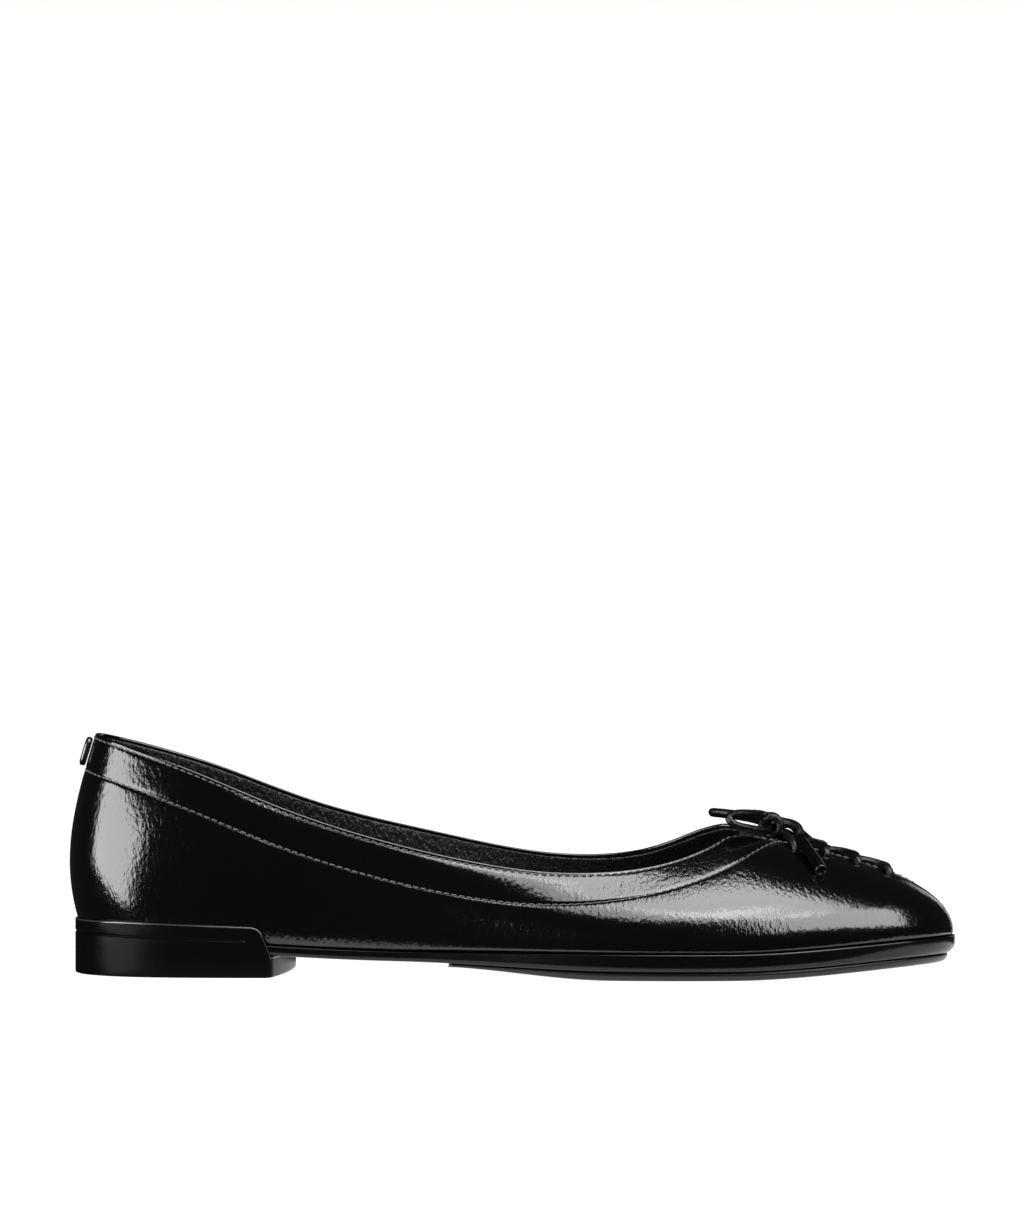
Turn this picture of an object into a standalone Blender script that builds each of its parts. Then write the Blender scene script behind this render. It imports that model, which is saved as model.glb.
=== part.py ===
"""Right ballet flat of glossy black leather, with a laced vamp and a small cord bow.

The shoe stands on the floor plane z = 0 with its toe to +X, its outer side to -Y and its inner
side to +Y. The whole upper is one surface, worked out from a short table of sections that runs
once round the last. The sole layers and the heel follow the same outline.
"""
import math
from collections import namedtuple

import bmesh
import bpy
import numpy as np
from mathutils import Vector
from mathutils.bvhtree import BVHTree

MM = 0.001

# Driving dimensions of the last and of the topline
SHOE_LENGTH = 250 * MM
BALL_WIDTH = 76.5 * MM
HEEL_WIDTH = 46.8 * MM
BACK_HEIGHT = 67.6 * MM
SIDE_HEIGHT = 30 * MM
INSTEP_HEIGHT = 42 * MM
TOE_SPRING = 3.1 * MM
CLEARANCE = 0.3 * MM

# Upper, insole and the piece behind the slit
UPPER_WALL = 1.8 * MM
INSOLE_THICKNESS = 2 * MM
INSOLE_CLEARANCE = 0.7 * MM
TONGUE_THICKNESS = 1.2 * MM
TONGUE_MARGIN = 5.5 * MM

# Slit down the middle of the vamp and its lace holes
SLIT_WIDTH = 18.4 * MM
SLIT_LENGTH = 49 * MM
HOLE_DIAMETER = 2.8 * MM
HOLE_SETBACK = 3.2 * MM
HOLE_PITCH = 8.9 * MM
FIRST_HOLE = 3.6 * MM
HOLE_PAIRS = 4
LACE_DIAMETER = 2.4 * MM
LOWER_STRAND_SINK = 1.8 * MM
UPPER_STRAND_SINK = 0.4 * MM
STRAND_LEAN = 1.8 * MM

# Sole layers and heel
MIDSOLE_FOREPART = 4.8 * MM
MIDSOLE_WAIST = 2.7 * MM
MIDSOLE_OUTSET = 0.5 * MM
OUTSOLE_THICKNESS = 2.3 * MM
OUTSOLE_INSET = 0.7 * MM
OUTSOLE_LENGTH = 142.5 * MM
HEEL_LENGTH = 63.2 * MM
HEEL_SKEW = 5.8 * MM
HEEL_SEAT_HEIGHT = 8.5 * MM
HEEL_RIM_HEIGHT = 15.5 * MM
HEEL_RIM_DROP = 1.3 * MM
HEEL_RIM_SETBACK = 11 * MM
HEEL_OUTSET = 2 * MM
HEEL_CORNER = 3 * MM

# Bow, lace tips and the bar at the back seam
KNOT_SIZE = Vector((6.8, 7.8, 7.2)) * MM
KNOT_SETBACK = 9 * MM
KNOT_RISE = 2.6 * MM
AGLET_LENGTH = 16 * MM
AGLET_NARROW = 2.9 * MM
AGLET_WIDE = 3.6 * MM
BAR_HEIGHT = 8.3 * MM
BAR_WIDTH = 6 * MM
BAR_THICKNESS = 1.8 * MM

# How finely the faceted surfaces are drawn
UPPER_ROWS = 11
SLIT_COLUMNS = 9
SIDE_COLUMNS = 25
SOLE_STATIONS = 26
FINE = 720

# One row for each section round the last: the feather edge and the topline above it.
# along and top_along are shares of the shoe's length, across and top_across are shares of the
# row's own width, back_rise and throat_rise lift the topline from the side height to the back
# height or to the instep height. lean and roll are the angles in degrees of the section's ends
# from the vertical, low_pull and top_pull the shares of its chord that they hold.
Section = namedtuple(
    "Section",
    "width along across top_along top_across back_rise throat_rise lean roll low_pull top_pull")

SECTIONS = (
    Section(HEEL_WIDTH, 0.0136, 0.000, 0.029, 0.000, 1.000, 0.00, 20, 17, 0.37, 0.38),
    Section(HEEL_WIDTH, 0.043, -0.338, 0.047, -0.267, 0.963, 0.00, 19, 15, 0.37, 0.38),
    Section(HEEL_WIDTH, 0.120, -0.500, 0.128, -0.460, 0.779, 0.00, 15, 12, 0.38, 0.38),
    Section(HEEL_WIDTH, 0.240, -0.534, 0.248, -0.502, 0.457, 0.00, 13, 10, 0.38, 0.38),
    Section(BALL_WIDTH, 0.392, -0.366, 0.398, -0.340, 0.160, 0.00, 12, 13, 0.38, 0.36),
    Section(BALL_WIDTH, 0.540, -0.470, 0.536, -0.373, 0.013, 0.00, 12, 30, 0.36, 0.38),
    Section(BALL_WIDTH, 0.660, -0.531, 0.628, -0.346, 0.000, 0.05, 10, 47, 0.32, 0.42),
    Section(BALL_WIDTH, 0.800, -0.494, 0.704, -0.255, 0.000, 0.41, 7, 62, 0.26, 0.50),
    Section(BALL_WIDTH, 0.900, -0.382, 0.736, -0.170, 0.000, 0.75, 4, 70, 0.23, 0.55),
    Section(BALL_WIDTH, 0.964, -0.233, 0.749, -0.085, 0.000, 0.93, 2, 74, 0.21, 0.57),
    Section(BALL_WIDTH, 0.998, -0.013, 0.753, -0.013, 0.000, 1.00, 1.5, 75, 0.20, 0.58),
    Section(BALL_WIDTH, 0.976, 0.197, 0.751, 0.059, 0.000, 1.01, 2, 74, 0.21, 0.57),
    Section(BALL_WIDTH, 0.920, 0.337, 0.745, 0.118, 0.000, 0.99, 4, 71, 0.23, 0.55),
    Section(BALL_WIDTH, 0.832, 0.431, 0.714, 0.207, 0.000, 0.82, 6, 64, 0.26, 0.50),
    Section(BALL_WIDTH, 0.720, 0.465, 0.652, 0.306, 0.000, 0.33, 10, 50, 0.31, 0.43),
    Section(BALL_WIDTH, 0.592, 0.392, 0.552, 0.327, 0.070, 0.00, 14, 28, 0.36, 0.38),
    Section(BALL_WIDTH, 0.432, 0.268, 0.412, 0.294, 0.234, 0.00, 22, 8, 0.38, 0.36),
    Section(HEEL_WIDTH, 0.260, 0.444, 0.264, 0.481, 0.489, 0.00, 20, 9, 0.38, 0.38),
    Section(HEEL_WIDTH, 0.128, 0.491, 0.136, 0.449, 0.798, 0.00, 15, 12, 0.38, 0.38),
    Section(HEEL_WIDTH, 0.043, 0.333, 0.047, 0.267, 0.968, 0.00, 19, 15, 0.37, 0.38),
)
TIP_SECTION = max(range(len(SECTIONS)), key=lambda number: SECTIONS[number].along)

# Where the sole's bends and steps lie, as shares of the shoe's length
HEEL_SLOPE_END = 0.40
TOE_SPRING_START = 0.74
MIDSOLE_GROWS = (0.36, 0.62)
OUTSOLE_GROWS = (0.43, 0.60)
OUTSOLE_REAR_EDGE = 0.35

# The topline's pull on the top of each section, and the shape of the slit's round end
TOPLINE_REACH = 20 * MM
SLIT_POWER = 0.6


def smooth(value):
    share = np.clip(value, 0, 1)
    return share * share * (3 - 2 * share)


def bed_height(x):
    """Height of the feather edge above the floor."""
    ball = OUTSOLE_THICKNESS + MIDSOLE_FOREPART + 2 * CLEARANCE
    back = HEEL_SEAT_HEIGHT + MIDSOLE_WAIST + CLEARANCE
    slope = np.clip(x / (HEEL_SLOPE_END * SHOE_LENGTH), 0, 1)
    heel_lift = (back - ball) * (1 + np.cos(math.pi * slope)) / 2
    start = TOE_SPRING_START * SHOE_LENGTH
    return ball + heel_lift + TOE_SPRING * smooth((x - start) / (SHOE_LENGTH - start))


def midsole_thickness(x):
    start, end = MIDSOLE_GROWS
    growth = smooth((x / SHOE_LENGTH - start) / (end - start))
    return MIDSOLE_WAIST + (MIDSOLE_FOREPART - MIDSOLE_WAIST) * growth


def outsole_thickness(x):
    start, end = OUTSOLE_GROWS
    growth = smooth((x / SHOE_LENGTH - start) / (end - start))
    return OUTSOLE_THICKNESS * (OUTSOLE_REAR_EDGE + (1 - OUTSOLE_REAR_EDGE) * growth)


def insole_top(x):
    return bed_height(x) + INSOLE_THICKNESS


def midsole_top(x):
    return bed_height(x) - CLEARANCE


def midsole_bottom(x):
    return midsole_top(x) - midsole_thickness(x)


def outsole_top(x):
    return midsole_bottom(x) - CLEARANCE


def outsole_bottom(x):
    return outsole_top(x) - outsole_thickness(x)


def floor(x):
    return 0 * x


class ClosedSpline:
    """Smooth closed curve through rows of values, with a knot for each row."""

    def __init__(self, knots, rows):
        self.knots = np.asarray(knots)
        self.rows = np.asarray(rows)
        count = len(self.rows)
        spans = np.diff(self.knots)
        system = np.zeros((count, count))
        right = np.zeros_like(self.rows)
        for i in range(count):
            before, after = spans[i - 1], spans[i]
            system[i, i - 1] += before
            system[i, i] += 2 * (before + after)
            system[i, (i + 1) % count] += after
            rise = (self.rows[(i + 1) % count] - self.rows[i]) / after
            fall = (self.rows[i] - self.rows[i - 1]) / before
            right[i] = 6 * (rise - fall)
        self.bends = np.linalg.solve(system, right)

    def __call__(self, u):
        u = np.mod(np.atleast_1d(u), self.knots[-1])
        i = np.clip(np.searchsorted(self.knots, u, side="right") - 1, 0, len(self.rows) - 1)
        j = (i + 1) % len(self.rows)
        span = (self.knots[i + 1] - self.knots[i])[:, None]
        a = self.knots[i + 1][:, None] - u[:, None]
        b = u[:, None] - self.knots[i][:, None]
        bend_i, bend_j = self.bends[i], self.bends[j]
        curve = (bend_i * a**3 + bend_j * b**3) / (6 * span)
        return (curve + (self.rows[i] / span - bend_i * span / 6) * a
                + (self.rows[j] / span - bend_j * span / 6) * b)


def section_values(row):
    side = SIDE_HEIGHT
    top_z = side + row.back_rise * (BACK_HEIGHT - side) + row.throat_rise * (INSTEP_HEIGHT - side)
    return (row.along * SHOE_LENGTH, row.across * row.width,
            row.top_along * SHOE_LENGTH, row.top_across * row.width, top_z,
            math.radians(row.lean), math.radians(row.roll), row.low_pull, row.top_pull)


def station_knots(values):
    """Distance along the feather edge of each section, and once round."""
    edge = values[:, :2]
    steps = np.linalg.norm(np.roll(edge, -1, axis=0) - edge, axis=1)
    return np.concatenate(([0], np.cumsum(steps)))


VALUES = np.array([section_values(row) for row in SECTIONS])
KNOTS = station_knots(VALUES)
ROUND = ClosedSpline(KNOTS, VALUES)
AROUND = KNOTS[-1]
TIP = KNOTS[TIP_SECTION]
FEATHER = 0
TOPLINE = 2


def plan_normal(first, u):
    """Outward normal, seen from above, of the curve in two columns of the spline."""
    step = 0.2 * MM
    ahead, behind = ROUND(u + step), ROUND(u - step)
    run = (ahead - behind)[:, first:first + 2]
    run /= np.linalg.norm(run, axis=1)[:, None]
    return np.column_stack((run[:, 1], -run[:, 0]))


def last_point(u, v):
    """Points of the outer surface: u runs round the last, v from feather edge to topline."""
    u = np.atleast_1d(np.asarray(u, float))
    v = np.broadcast_to(np.asarray(v, float), u.shape)[:, None]
    row = ROUND(u)
    low = np.column_stack((row[:, 0:2], bed_height(row[:, 0])))
    top = row[:, 2:5]
    lean, roll = row[:, 5:6], row[:, 6:7]
    chord = np.linalg.norm(top - low, axis=1)[:, None]
    out_low = plan_normal(FEATHER, u)
    out_top = (low - top)[:, :2] + TOPLINE_REACH * plan_normal(TOPLINE, u)
    out_top /= np.linalg.norm(out_top, axis=1)[:, None]
    low_way = np.column_stack((np.sin(lean) * out_low, np.cos(lean)))
    top_way = np.column_stack((np.sin(roll) * out_top, -np.cos(roll)))
    low_handle = low + row[:, 7:8] * chord * low_way
    top_handle = top + row[:, 8:9] * chord * top_way
    w = 1 - v
    return w**3 * low + 3 * w**2 * v * low_handle + 3 * w * v**2 * top_handle + v**3 * top


def last_normal(u, v):
    """Outward unit normals of the outer surface."""
    u = np.atleast_1d(np.asarray(u, float))
    v = np.broadcast_to(np.asarray(v, float), u.shape)
    along = last_point(u + 0.2 * MM, v) - last_point(u - 0.2 * MM, v)
    up = last_point(u, np.minimum(v + 0.004, 1)) - last_point(u, np.maximum(v - 0.004, 0))
    normal = np.cross(along, up)
    return normal / np.linalg.norm(normal, axis=1)[:, None]


THROAT = last_point(TIP, 1)[0]
SLIT_Y = THROAT[1]
SLIT_END = THROAT[0] + SLIT_LENGTH


def slit_half_width(x):
    share = np.clip((SLIT_END - x) / SLIT_LENGTH, 0, None)
    return SLIT_WIDTH / 2 * share**SLIT_POWER


def in_slit(points):
    ahead = points[:, 0] > THROAT[0] - SLIT_WIDTH / 2
    return ahead & (np.abs(points[:, 1] - SLIT_Y) < slit_half_width(points[:, 0]))


def slit_reach(u):
    """How far each section runs up before it meets the slit: 1 where it meets the topline."""
    v = np.linspace(0, 1, 400)
    reach = np.ones(len(u))
    for i, value in enumerate(u):
        points = last_point(np.full(len(v), value), v)
        inside = in_slit(points)
        if inside.any():
            first = int(np.argmax(inside))
            low, high = v[max(first - 1, 0)], v[first]
            for _ in range(30):
                middle = (low + high) / 2
                if in_slit(last_point(value, middle))[0]:
                    high = middle
                else:
                    low = middle
            reach[i] = low
    return reach


def peak_sections():
    """The two sections that end at the corners where topline and slit meet."""
    u = np.linspace(TIP - 0.3 * AROUND, TIP + 0.3 * AROUND, 3000)
    within = np.flatnonzero(in_slit(last_point(u, 1)))
    return u[within[0]], u[within[-1]]


def principled(name, color, roughness, metallic=0.0):
    material = bpy.data.materials.new(name)
    material.use_nodes = True
    shader = material.node_tree.nodes["Principled BSDF"]
    shader.inputs["Base Color"].default_value = (*color, 1)
    shader.inputs["Roughness"].default_value = roughness
    shader.inputs["Metallic"].default_value = metallic
    material.diffuse_color = (*color, 1)
    return material


def new_object(name, vertices, faces, material, parent):
    mesh = bpy.data.meshes.new(name)
    mesh.from_pydata([tuple(vertex) for vertex in vertices], [], faces)
    clean = bmesh.new()
    clean.from_mesh(mesh)
    bmesh.ops.remove_doubles(clean, verts=clean.verts, dist=0.001 * MM)
    bmesh.ops.dissolve_degenerate(clean, edges=clean.edges, dist=0.001 * MM)
    bmesh.ops.recalc_face_normals(clean, faces=clean.faces)
    clean.to_mesh(mesh)
    clean.free()
    mesh.shade_smooth()
    mesh.set_sharp_from_angle(angle=math.radians(35))
    piece = bpy.data.objects.new(name, mesh)
    piece.data.materials.append(material)
    piece.parent = parent
    bpy.context.collection.objects.link(piece)
    return piece


def as_cutter(piece):
    piece.hide_render = True
    piece.display_type = "WIRE"
    return piece


def boolean(piece, cutter, operation):
    modifier = piece.modifiers.new(f"{operation.lower()} {cutter.name}", "BOOLEAN")
    modifier.operation = operation
    modifier.solver = "EXACT"
    modifier.object = cutter


def grid_faces(rows, columns, start=0, closed=False):
    faces = []
    for i in range(rows - 1):
        for j in range(columns if closed else columns - 1):
            a = start + i * columns + j
            b = start + i * columns + (j + 1) % columns
            faces.append((a, b, b + columns, a + columns))
    return faces


def upper_columns():
    """Places of the sections drawn round the upper, close together at the toe and the slit."""
    first, last = peak_sections()
    outer = np.linspace(first, TIP, SLIT_COLUMNS)
    inner = np.linspace(TIP, last, SLIT_COLUMNS)
    rest = np.linspace(last, first + AROUND, 2 * SIDE_COLUMNS)
    return np.concatenate((outer, inner[1:], rest[1:-1]))


def make_upper(material, parent):
    """Hollow leather upper, open at the topline, along the slit and underneath."""
    columns = upper_columns()
    reach = slit_reach(columns)
    outside, inside = [], []
    for i in range(UPPER_ROWS):
        v = reach * i / (UPPER_ROWS - 1)
        points = last_point(columns, v)
        offset = last_normal(columns, v) * UPPER_WALL
        if i == 0:
            level = plan_normal(FEATHER, columns) * UPPER_WALL
            offset = np.column_stack((level, np.zeros(len(columns))))
        inner = points - offset
        if i == 0:
            inner[:, 2] = bed_height(inner[:, 0])
        outside.extend(points)
        inside.extend(inner)
    count = len(columns)
    faces = grid_faces(UPPER_ROWS, count, 0, True)
    faces += grid_faces(UPPER_ROWS, count, len(outside), True)
    last_row = (UPPER_ROWS - 1) * count
    for row in (0, last_row):
        for j in range(count):
            k = (j + 1) % count
            faces.append((row + j, row + k, len(outside) + row + k, len(outside) + row + j))
    return new_object("upper", outside + inside, faces, material, parent)


def edge_curve(offset, height=None):
    """Outline round the last, moved outward: at the feather edge, or at a height above it."""
    u = np.linspace(0, AROUND, FINE, endpoint=False)
    normals = plan_normal(FEATHER, u)
    if height is None:
        base = ROUND(u)[:, :2]
    else:
        levels = np.linspace(0, 1, 60)
        base = np.zeros((FINE, 2))
        for i, value in enumerate(u):
            line = last_point(np.full(len(levels), value), levels)
            target = line[0, 2] + height
            base[i] = [np.interp(target, line[:, 2], line[:, axis]) for axis in (0, 1)]
    return base + offset * normals


def paired_edges(curve, start=None, end=None, stations=SOLE_STATIONS):
    """Outer and inner edge of an outline at equal distances along the shoe."""
    back, tip = int(np.argmin(curve[:, 0])), int(np.argmax(curve[:, 0]))
    outer = np.roll(curve, -back, axis=0)
    tip = (tip - back) % len(curve)
    outer, inner = outer[:tip + 1], np.vstack((outer[tip:], outer[:1]))[::-1]
    left = outer[0, 0] if start is None else start
    right = outer[-1, 0] if end is None else end
    share = np.linspace(0, 1, stations)
    round_back, round_tip = start is None, end is None
    if round_back and round_tip:
        share = (1 - np.cos(math.pi * share)) / 2
    elif round_tip:
        share = np.sin(math.pi / 2 * share)
    elif round_back:
        share = 1 - np.cos(math.pi / 2 * share)
    x = left + (right - left) * share
    return x, np.interp(x, outer[:, 0], outer[:, 1]), np.interp(x, inner[:, 0], inner[:, 1])


def make_plate(name, rings, material, parent):
    """Closed solid from rings stacked upward. A ring is (x, outer y, inner y, z)."""
    vertices, faces = [], []
    for x, outer, inner, z in rings:
        vertices.extend(zip(x, outer, z))
        vertices.extend(zip(x[::-1], inner[::-1], z[::-1]))
    count = len(rings[0][0])
    around = 2 * count
    faces += grid_faces(len(rings), around, 0, True)
    for start in (0, (len(rings) - 1) * around):
        for i in range(count - 1):
            far = start + around - 1 - i
            faces.append((start + i, start + i + 1, far - 1, far))
    return new_object(name, vertices, faces, material, parent)


def plate_ring(offset, height_of, share_of=None, share=0, **limits):
    """Ring of a plate at height_of, or at a share of the way up to share_of."""
    x, outer, inner = paired_edges(edge_curve(offset), **limits)
    z = height_of(x)
    if share_of is not None:
        z = z + share * (share_of(x) - z)
    return x, outer, inner, z


def make_insole(material, parent):
    offset = -UPPER_WALL - INSOLE_CLEARANCE
    edge = 0.4 * MM
    rings = [plate_ring(offset, bed_height),
             plate_ring(offset, bed_height, insole_top, 0.75),
             plate_ring(offset - edge, insole_top)]
    return make_plate("insole", rings, material, parent)


def make_midsole(material, parent):
    """Leather-covered strip that shows between upper and outsole, with a full side."""
    Level = namedtuple("Level", "share pull_mm")
    levels = (Level(0, -0.9), Level(0.12, -0.25), Level(0.35, 0), Level(0.8, 0), Level(1, -0.3))
    rings = []
    for share, pull in levels:
        offset = MIDSOLE_OUTSET + pull * MM
        rings.append(plate_ring(offset, midsole_bottom, midsole_top, share))
    return make_plate("midsole", rings, material, parent)


def make_outsole(material, parent):
    """Thin forepart outsole, flat on the floor under the ball of the foot."""
    limits = {"start": SHOE_LENGTH - OUTSOLE_LENGTH}
    bevel = 0.5 * MM
    rings = [plate_ring(-OUTSOLE_INSET - bevel, outsole_bottom, **limits),
             plate_ring(-OUTSOLE_INSET, outsole_bottom, outsole_top, 0.25, **limits),
             plate_ring(-OUTSOLE_INSET, outsole_top, **limits)]
    return make_plate("outsole", rings, material, parent)


def make_heel(material, parent):
    """Low heel block with a thin rim that cups the back of the upper."""
    top = 2 * HEEL_RIM_HEIGHT
    limits = {"end": HEEL_LENGTH, "stations": 18}
    foot = plate_ring(HEEL_OUTSET, floor, **limits)
    head = (*foot[:3], foot[3] + top)
    heel = make_plate("heel", [foot, head], material, parent)
    shape_front(heel)

    side = as_cutter(make_heel_side(top, material, parent))
    boolean(heel, side, "INTERSECT")
    room = as_cutter(make_heel_room(top, material, parent))
    boolean(heel, room, "DIFFERENCE")
    return heel


def shape_front(heel):
    """Round the heel's two front corners, and bow its front face back toward the outer side."""
    shape = bmesh.new()
    shape.from_mesh(heel.data)
    front = max(vertex.co.x for vertex in shape.verts)
    face = [edge for edge in shape.edges
            if all(abs(vertex.co.x - front) < 0.01 * MM for vertex in edge.verts)]
    corners = [edge for edge in face if abs(edge.verts[0].co.z - edge.verts[1].co.z) > MM]
    bmesh.ops.bevel(shape, geom=corners, offset=HEEL_CORNER, segments=4, profile=0.5,
                    affect="EDGES", clamp_overlap=True)
    level = [edge for edge in shape.edges
             if all(abs(vertex.co.x - front) < 0.01 * MM for vertex in edge.verts)
             and abs(edge.verts[0].co.z - edge.verts[1].co.z) < MM]
    bmesh.ops.subdivide_edges(shape, edges=level, cuts=7, use_grid_fill=True)
    near_front = [vertex for vertex in shape.verts if vertex.co.x > front - 2 * HEEL_CORNER]
    inner = max(vertex.co.y for vertex in near_front)
    outer = min(vertex.co.y for vertex in near_front)
    start = front - HEEL_RIM_SETBACK
    for vertex in shape.verts:
        aside = (inner - vertex.co.y) / (inner - outer)
        vertex.co.x -= HEEL_SKEW * aside**2 * smooth((vertex.co.x - start) / (front - start))
    shape.to_mesh(heel.data)
    shape.free()


def heel_side_profile(top):
    """Side view of the heel: the rim falls a little, then curves down to the seat's front."""
    beyond = HEEL_LENGTH / 2
    rim_front = HEEL_LENGTH - HEEL_RIM_SETBACK
    rim_end = HEEL_RIM_HEIGHT - HEEL_RIM_DROP
    curve = ((1.8, -0.6), (3.0, -2.3), (3.7, -4.0))
    curve_length = 5.2 * MM
    seat_front = rim_front + curve_length
    seat = float(midsole_bottom(np.array(seat_front))) - CLEARANCE
    level_end = 0.3 * HEEL_LENGTH
    points = [(-beyond, HEEL_RIM_HEIGHT), (level_end, HEEL_RIM_HEIGHT), (rim_front, rim_end)]
    points += [(rim_front + dx * MM, rim_end + dz * MM) for dx, dz in curve]
    points += [(seat_front, seat), (HEEL_LENGTH + beyond, seat)]
    points += [(HEEL_LENGTH + beyond, -top), (-beyond, -top)]
    return points


def make_heel_side(top, material, parent):
    reach = HEEL_WIDTH
    profile = heel_side_profile(top)
    count = len(profile)
    vertices = [(x, -reach, z) for x, z in profile] + [(x, reach, z) for x, z in profile]
    faces = [tuple(range(count)), tuple(range(2 * count - 1, count - 1, -1))]
    faces += [(i, (i + 1) % count, count + (i + 1) % count, count + i) for i in range(count)]
    return new_object("cutter_heel_side", vertices, faces, material, parent)


def make_heel_room(top, material, parent):
    """Room in the heel for the midsole and the lower edge of the upper."""
    limits = {"end": 1.3 * HEEL_LENGTH, "stations": 20}
    wide = MIDSOLE_OUTSET + CLEARANCE
    x, outer, inner = paired_edges(edge_curve(wide), **limits)
    rings = [(x, outer, inner, midsole_bottom(x) - CLEARANCE), (x, outer, inner, bed_height(x))]
    room_height = 8 * MM
    for share in (0.19, 0.38, 0.63, 1):
        height = share * room_height
        x, outer, inner = paired_edges(edge_curve(CLEARANCE, height), **limits)
        rings.append((x, outer, inner, bed_height(x) + height))
    return make_plate("cutter_heel_room", rings, material, parent)


def vamp_tree():
    """The outer surface as faces that a straight line can be dropped on."""
    rows, columns = 60, 240
    u = np.linspace(0, AROUND, columns, endpoint=False)
    points = []
    for i in range(rows):
        points.extend(last_point(u, i / (rows - 1)))
    return BVHTree.FromPolygons([Vector(point) for point in points],
                                grid_faces(rows, columns, 0, True))


def on_vamp(tree, x, y):
    """Point and normal of the outer surface below (x, y)."""
    place, normal, _, _ = tree.ray_cast(Vector((x, y, 1)), Vector((0, 0, -1)))
    return place, normal if normal.z > 0 else -normal


def make_tongue(tree, material, parent):
    """Thin soft piece that closes the slit from inside."""
    rows, columns = 15, 7
    lap, setback = 2 * MM, 1.5 * MM
    front = SLIT_END + lap
    back = THROAT[0] + setback
    top, bottom = [], []
    for i in range(rows):
        x = front + (back - front) * i / (rows - 1)
        reach = float(slit_half_width(x)) + TONGUE_MARGIN
        for j in range(columns):
            y = SLIT_Y + reach * (2 * j / (columns - 1) - 1)
            place, normal = on_vamp(tree, x, y)
            top.append(place - normal * (UPPER_WALL + CLEARANCE))
            bottom.append(place - normal * (UPPER_WALL + CLEARANCE + TONGUE_THICKNESS))
    count = len(top)
    faces = grid_faces(rows, columns) + grid_faces(rows, columns, count)
    rim = [j for j in range(columns)]
    rim += [i * columns + columns - 1 for i in range(1, rows)]
    rim += [(rows - 1) * columns + j for j in range(columns - 2, -1, -1)]
    rim += [i * columns for i in range(rows - 2, 0, -1)]
    for i, a in enumerate(rim):
        b = rim[(i + 1) % len(rim)]
        faces.append((a, b, count + b, count + a))
    return new_object("tongue", top + bottom, faces, material, parent)


def hole_places():
    """Plan places of the lace holes, from the toe back: (x, half the distance across)."""
    front = SLIT_END - FIRST_HOLE
    places = []
    for i in range(HOLE_PAIRS):
        x = front - i * HOLE_PITCH
        places.append((x, float(slit_half_width(x)) + HOLE_SETBACK))
    return places


def cut_holes(upper, tree, material, parent):
    sides = 10
    drills, faces = [], []
    for x, half in hole_places():
        for side in (-1, 1):
            place, normal = on_vamp(tree, x, SLIT_Y + side * half)
            across = normal.orthogonal().normalized()
            other = normal.cross(across)
            start = len(drills)
            for depth in (-2 * UPPER_WALL, UPPER_WALL):
                for k in range(sides):
                    turn = 2 * math.pi * k / sides
                    arm = across * math.cos(turn) + other * math.sin(turn)
                    drills.append(place + normal * depth + arm * HOLE_DIAMETER / 2)
            faces += grid_faces(2, sides, start, True)
            faces.append(tuple(range(start, start + sides)))
            faces.append(tuple(range(start + sides, start + 2 * sides)))
    drill = as_cutter(new_object("cutter_lace_holes", drills, faces, material, parent))
    boolean(upper, drill, "DIFFERENCE")


def smooth_route(points, count):
    """Evenly spaced places on a smooth curve through a cord's own points."""
    knots = [Vector(point) for point in points]
    line = [knots[0] * 2 - knots[1], *knots, knots[-1] * 2 - knots[-2]]
    dense = []
    for i in range(1, len(line) - 2):
        before, start, end, after = line[i - 1:i + 3]
        for k in range(16):
            t = k / 16
            dense.append(0.5 * (2 * start + (end - before) * t
                                + (2 * before - 5 * start + 4 * end - after) * t * t
                                + (3 * start - before - 3 * end + after) * t**3))
    dense.append(knots[-1])
    lengths = [0.0]
    for i in range(1, len(dense)):
        lengths.append(lengths[-1] + (dense[i] - dense[i - 1]).length)
    places = []
    for k in range(count):
        target = lengths[-1] * k / (count - 1)
        places.append(Vector([np.interp(target, lengths, [p[axis] for p in dense])
                              for axis in range(3)]))
    return places


def make_cord(name, points, count, diameter, material, parent):
    data = bpy.data.curves.new(name, "CURVE")
    data.dimensions = "3D"
    data.bevel_depth = diameter / 2
    data.bevel_resolution = 2
    data.use_fill_caps = True
    spline = data.splines.new("POLY")
    places = smooth_route(points, count)
    spline.points.add(len(places) - 1)
    for point, place in zip(spline.points, places):
        point.co = (*place, 1)
    spline.use_smooth = True
    data.materials.append(material)
    cord = bpy.data.objects.new(name, data)
    cord.parent = parent
    bpy.context.collection.objects.link(cord)
    return cord


def make_lacing(tree, material, parent):
    """Crossed strands over the slit, one solid for each crossing."""
    radius = LACE_DIAMETER / 2
    lie = radius + CLEARANCE
    places = hole_places()
    for number in range(len(places) - 1):
        x_front, half_front = places[number]
        x_back, half_back = places[number + 1]
        strands = []
        for side, sink in ((-1, LOWER_STRAND_SINK), (1, UPPER_STRAND_SINK)):
            start, normal = on_vamp(tree, x_front, SLIT_Y + side * half_front)
            start = start + normal * lie
            over_edge = half_front - HOLE_SETBACK
            edge, normal = on_vamp(tree, x_front - STRAND_LEAN, SLIT_Y + side * over_edge)
            edge = edge + normal * lie
            middle_x = (x_front + x_back) / 2
            middle, _ = on_vamp(tree, middle_x, SLIT_Y)
            middle = middle + Vector((0, 0, lie - sink))
            inner = half_back - HOLE_SETBACK - radius
            end, normal = on_vamp(tree, x_back, SLIT_Y - side * inner)
            end = end + normal * (lie - 0.5 * radius)
            name = f"lacing_{number + 1}" if side < 0 else f"cutter_strand_{number + 1}"
            strands.append(make_cord(name, (start, edge, middle, end), 11, LACE_DIAMETER,
                                     material, parent))
        under, over = (solid_from_curve(strand) for strand in strands)
        as_cutter(over)
        boolean(under, over, "UNION")


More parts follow.
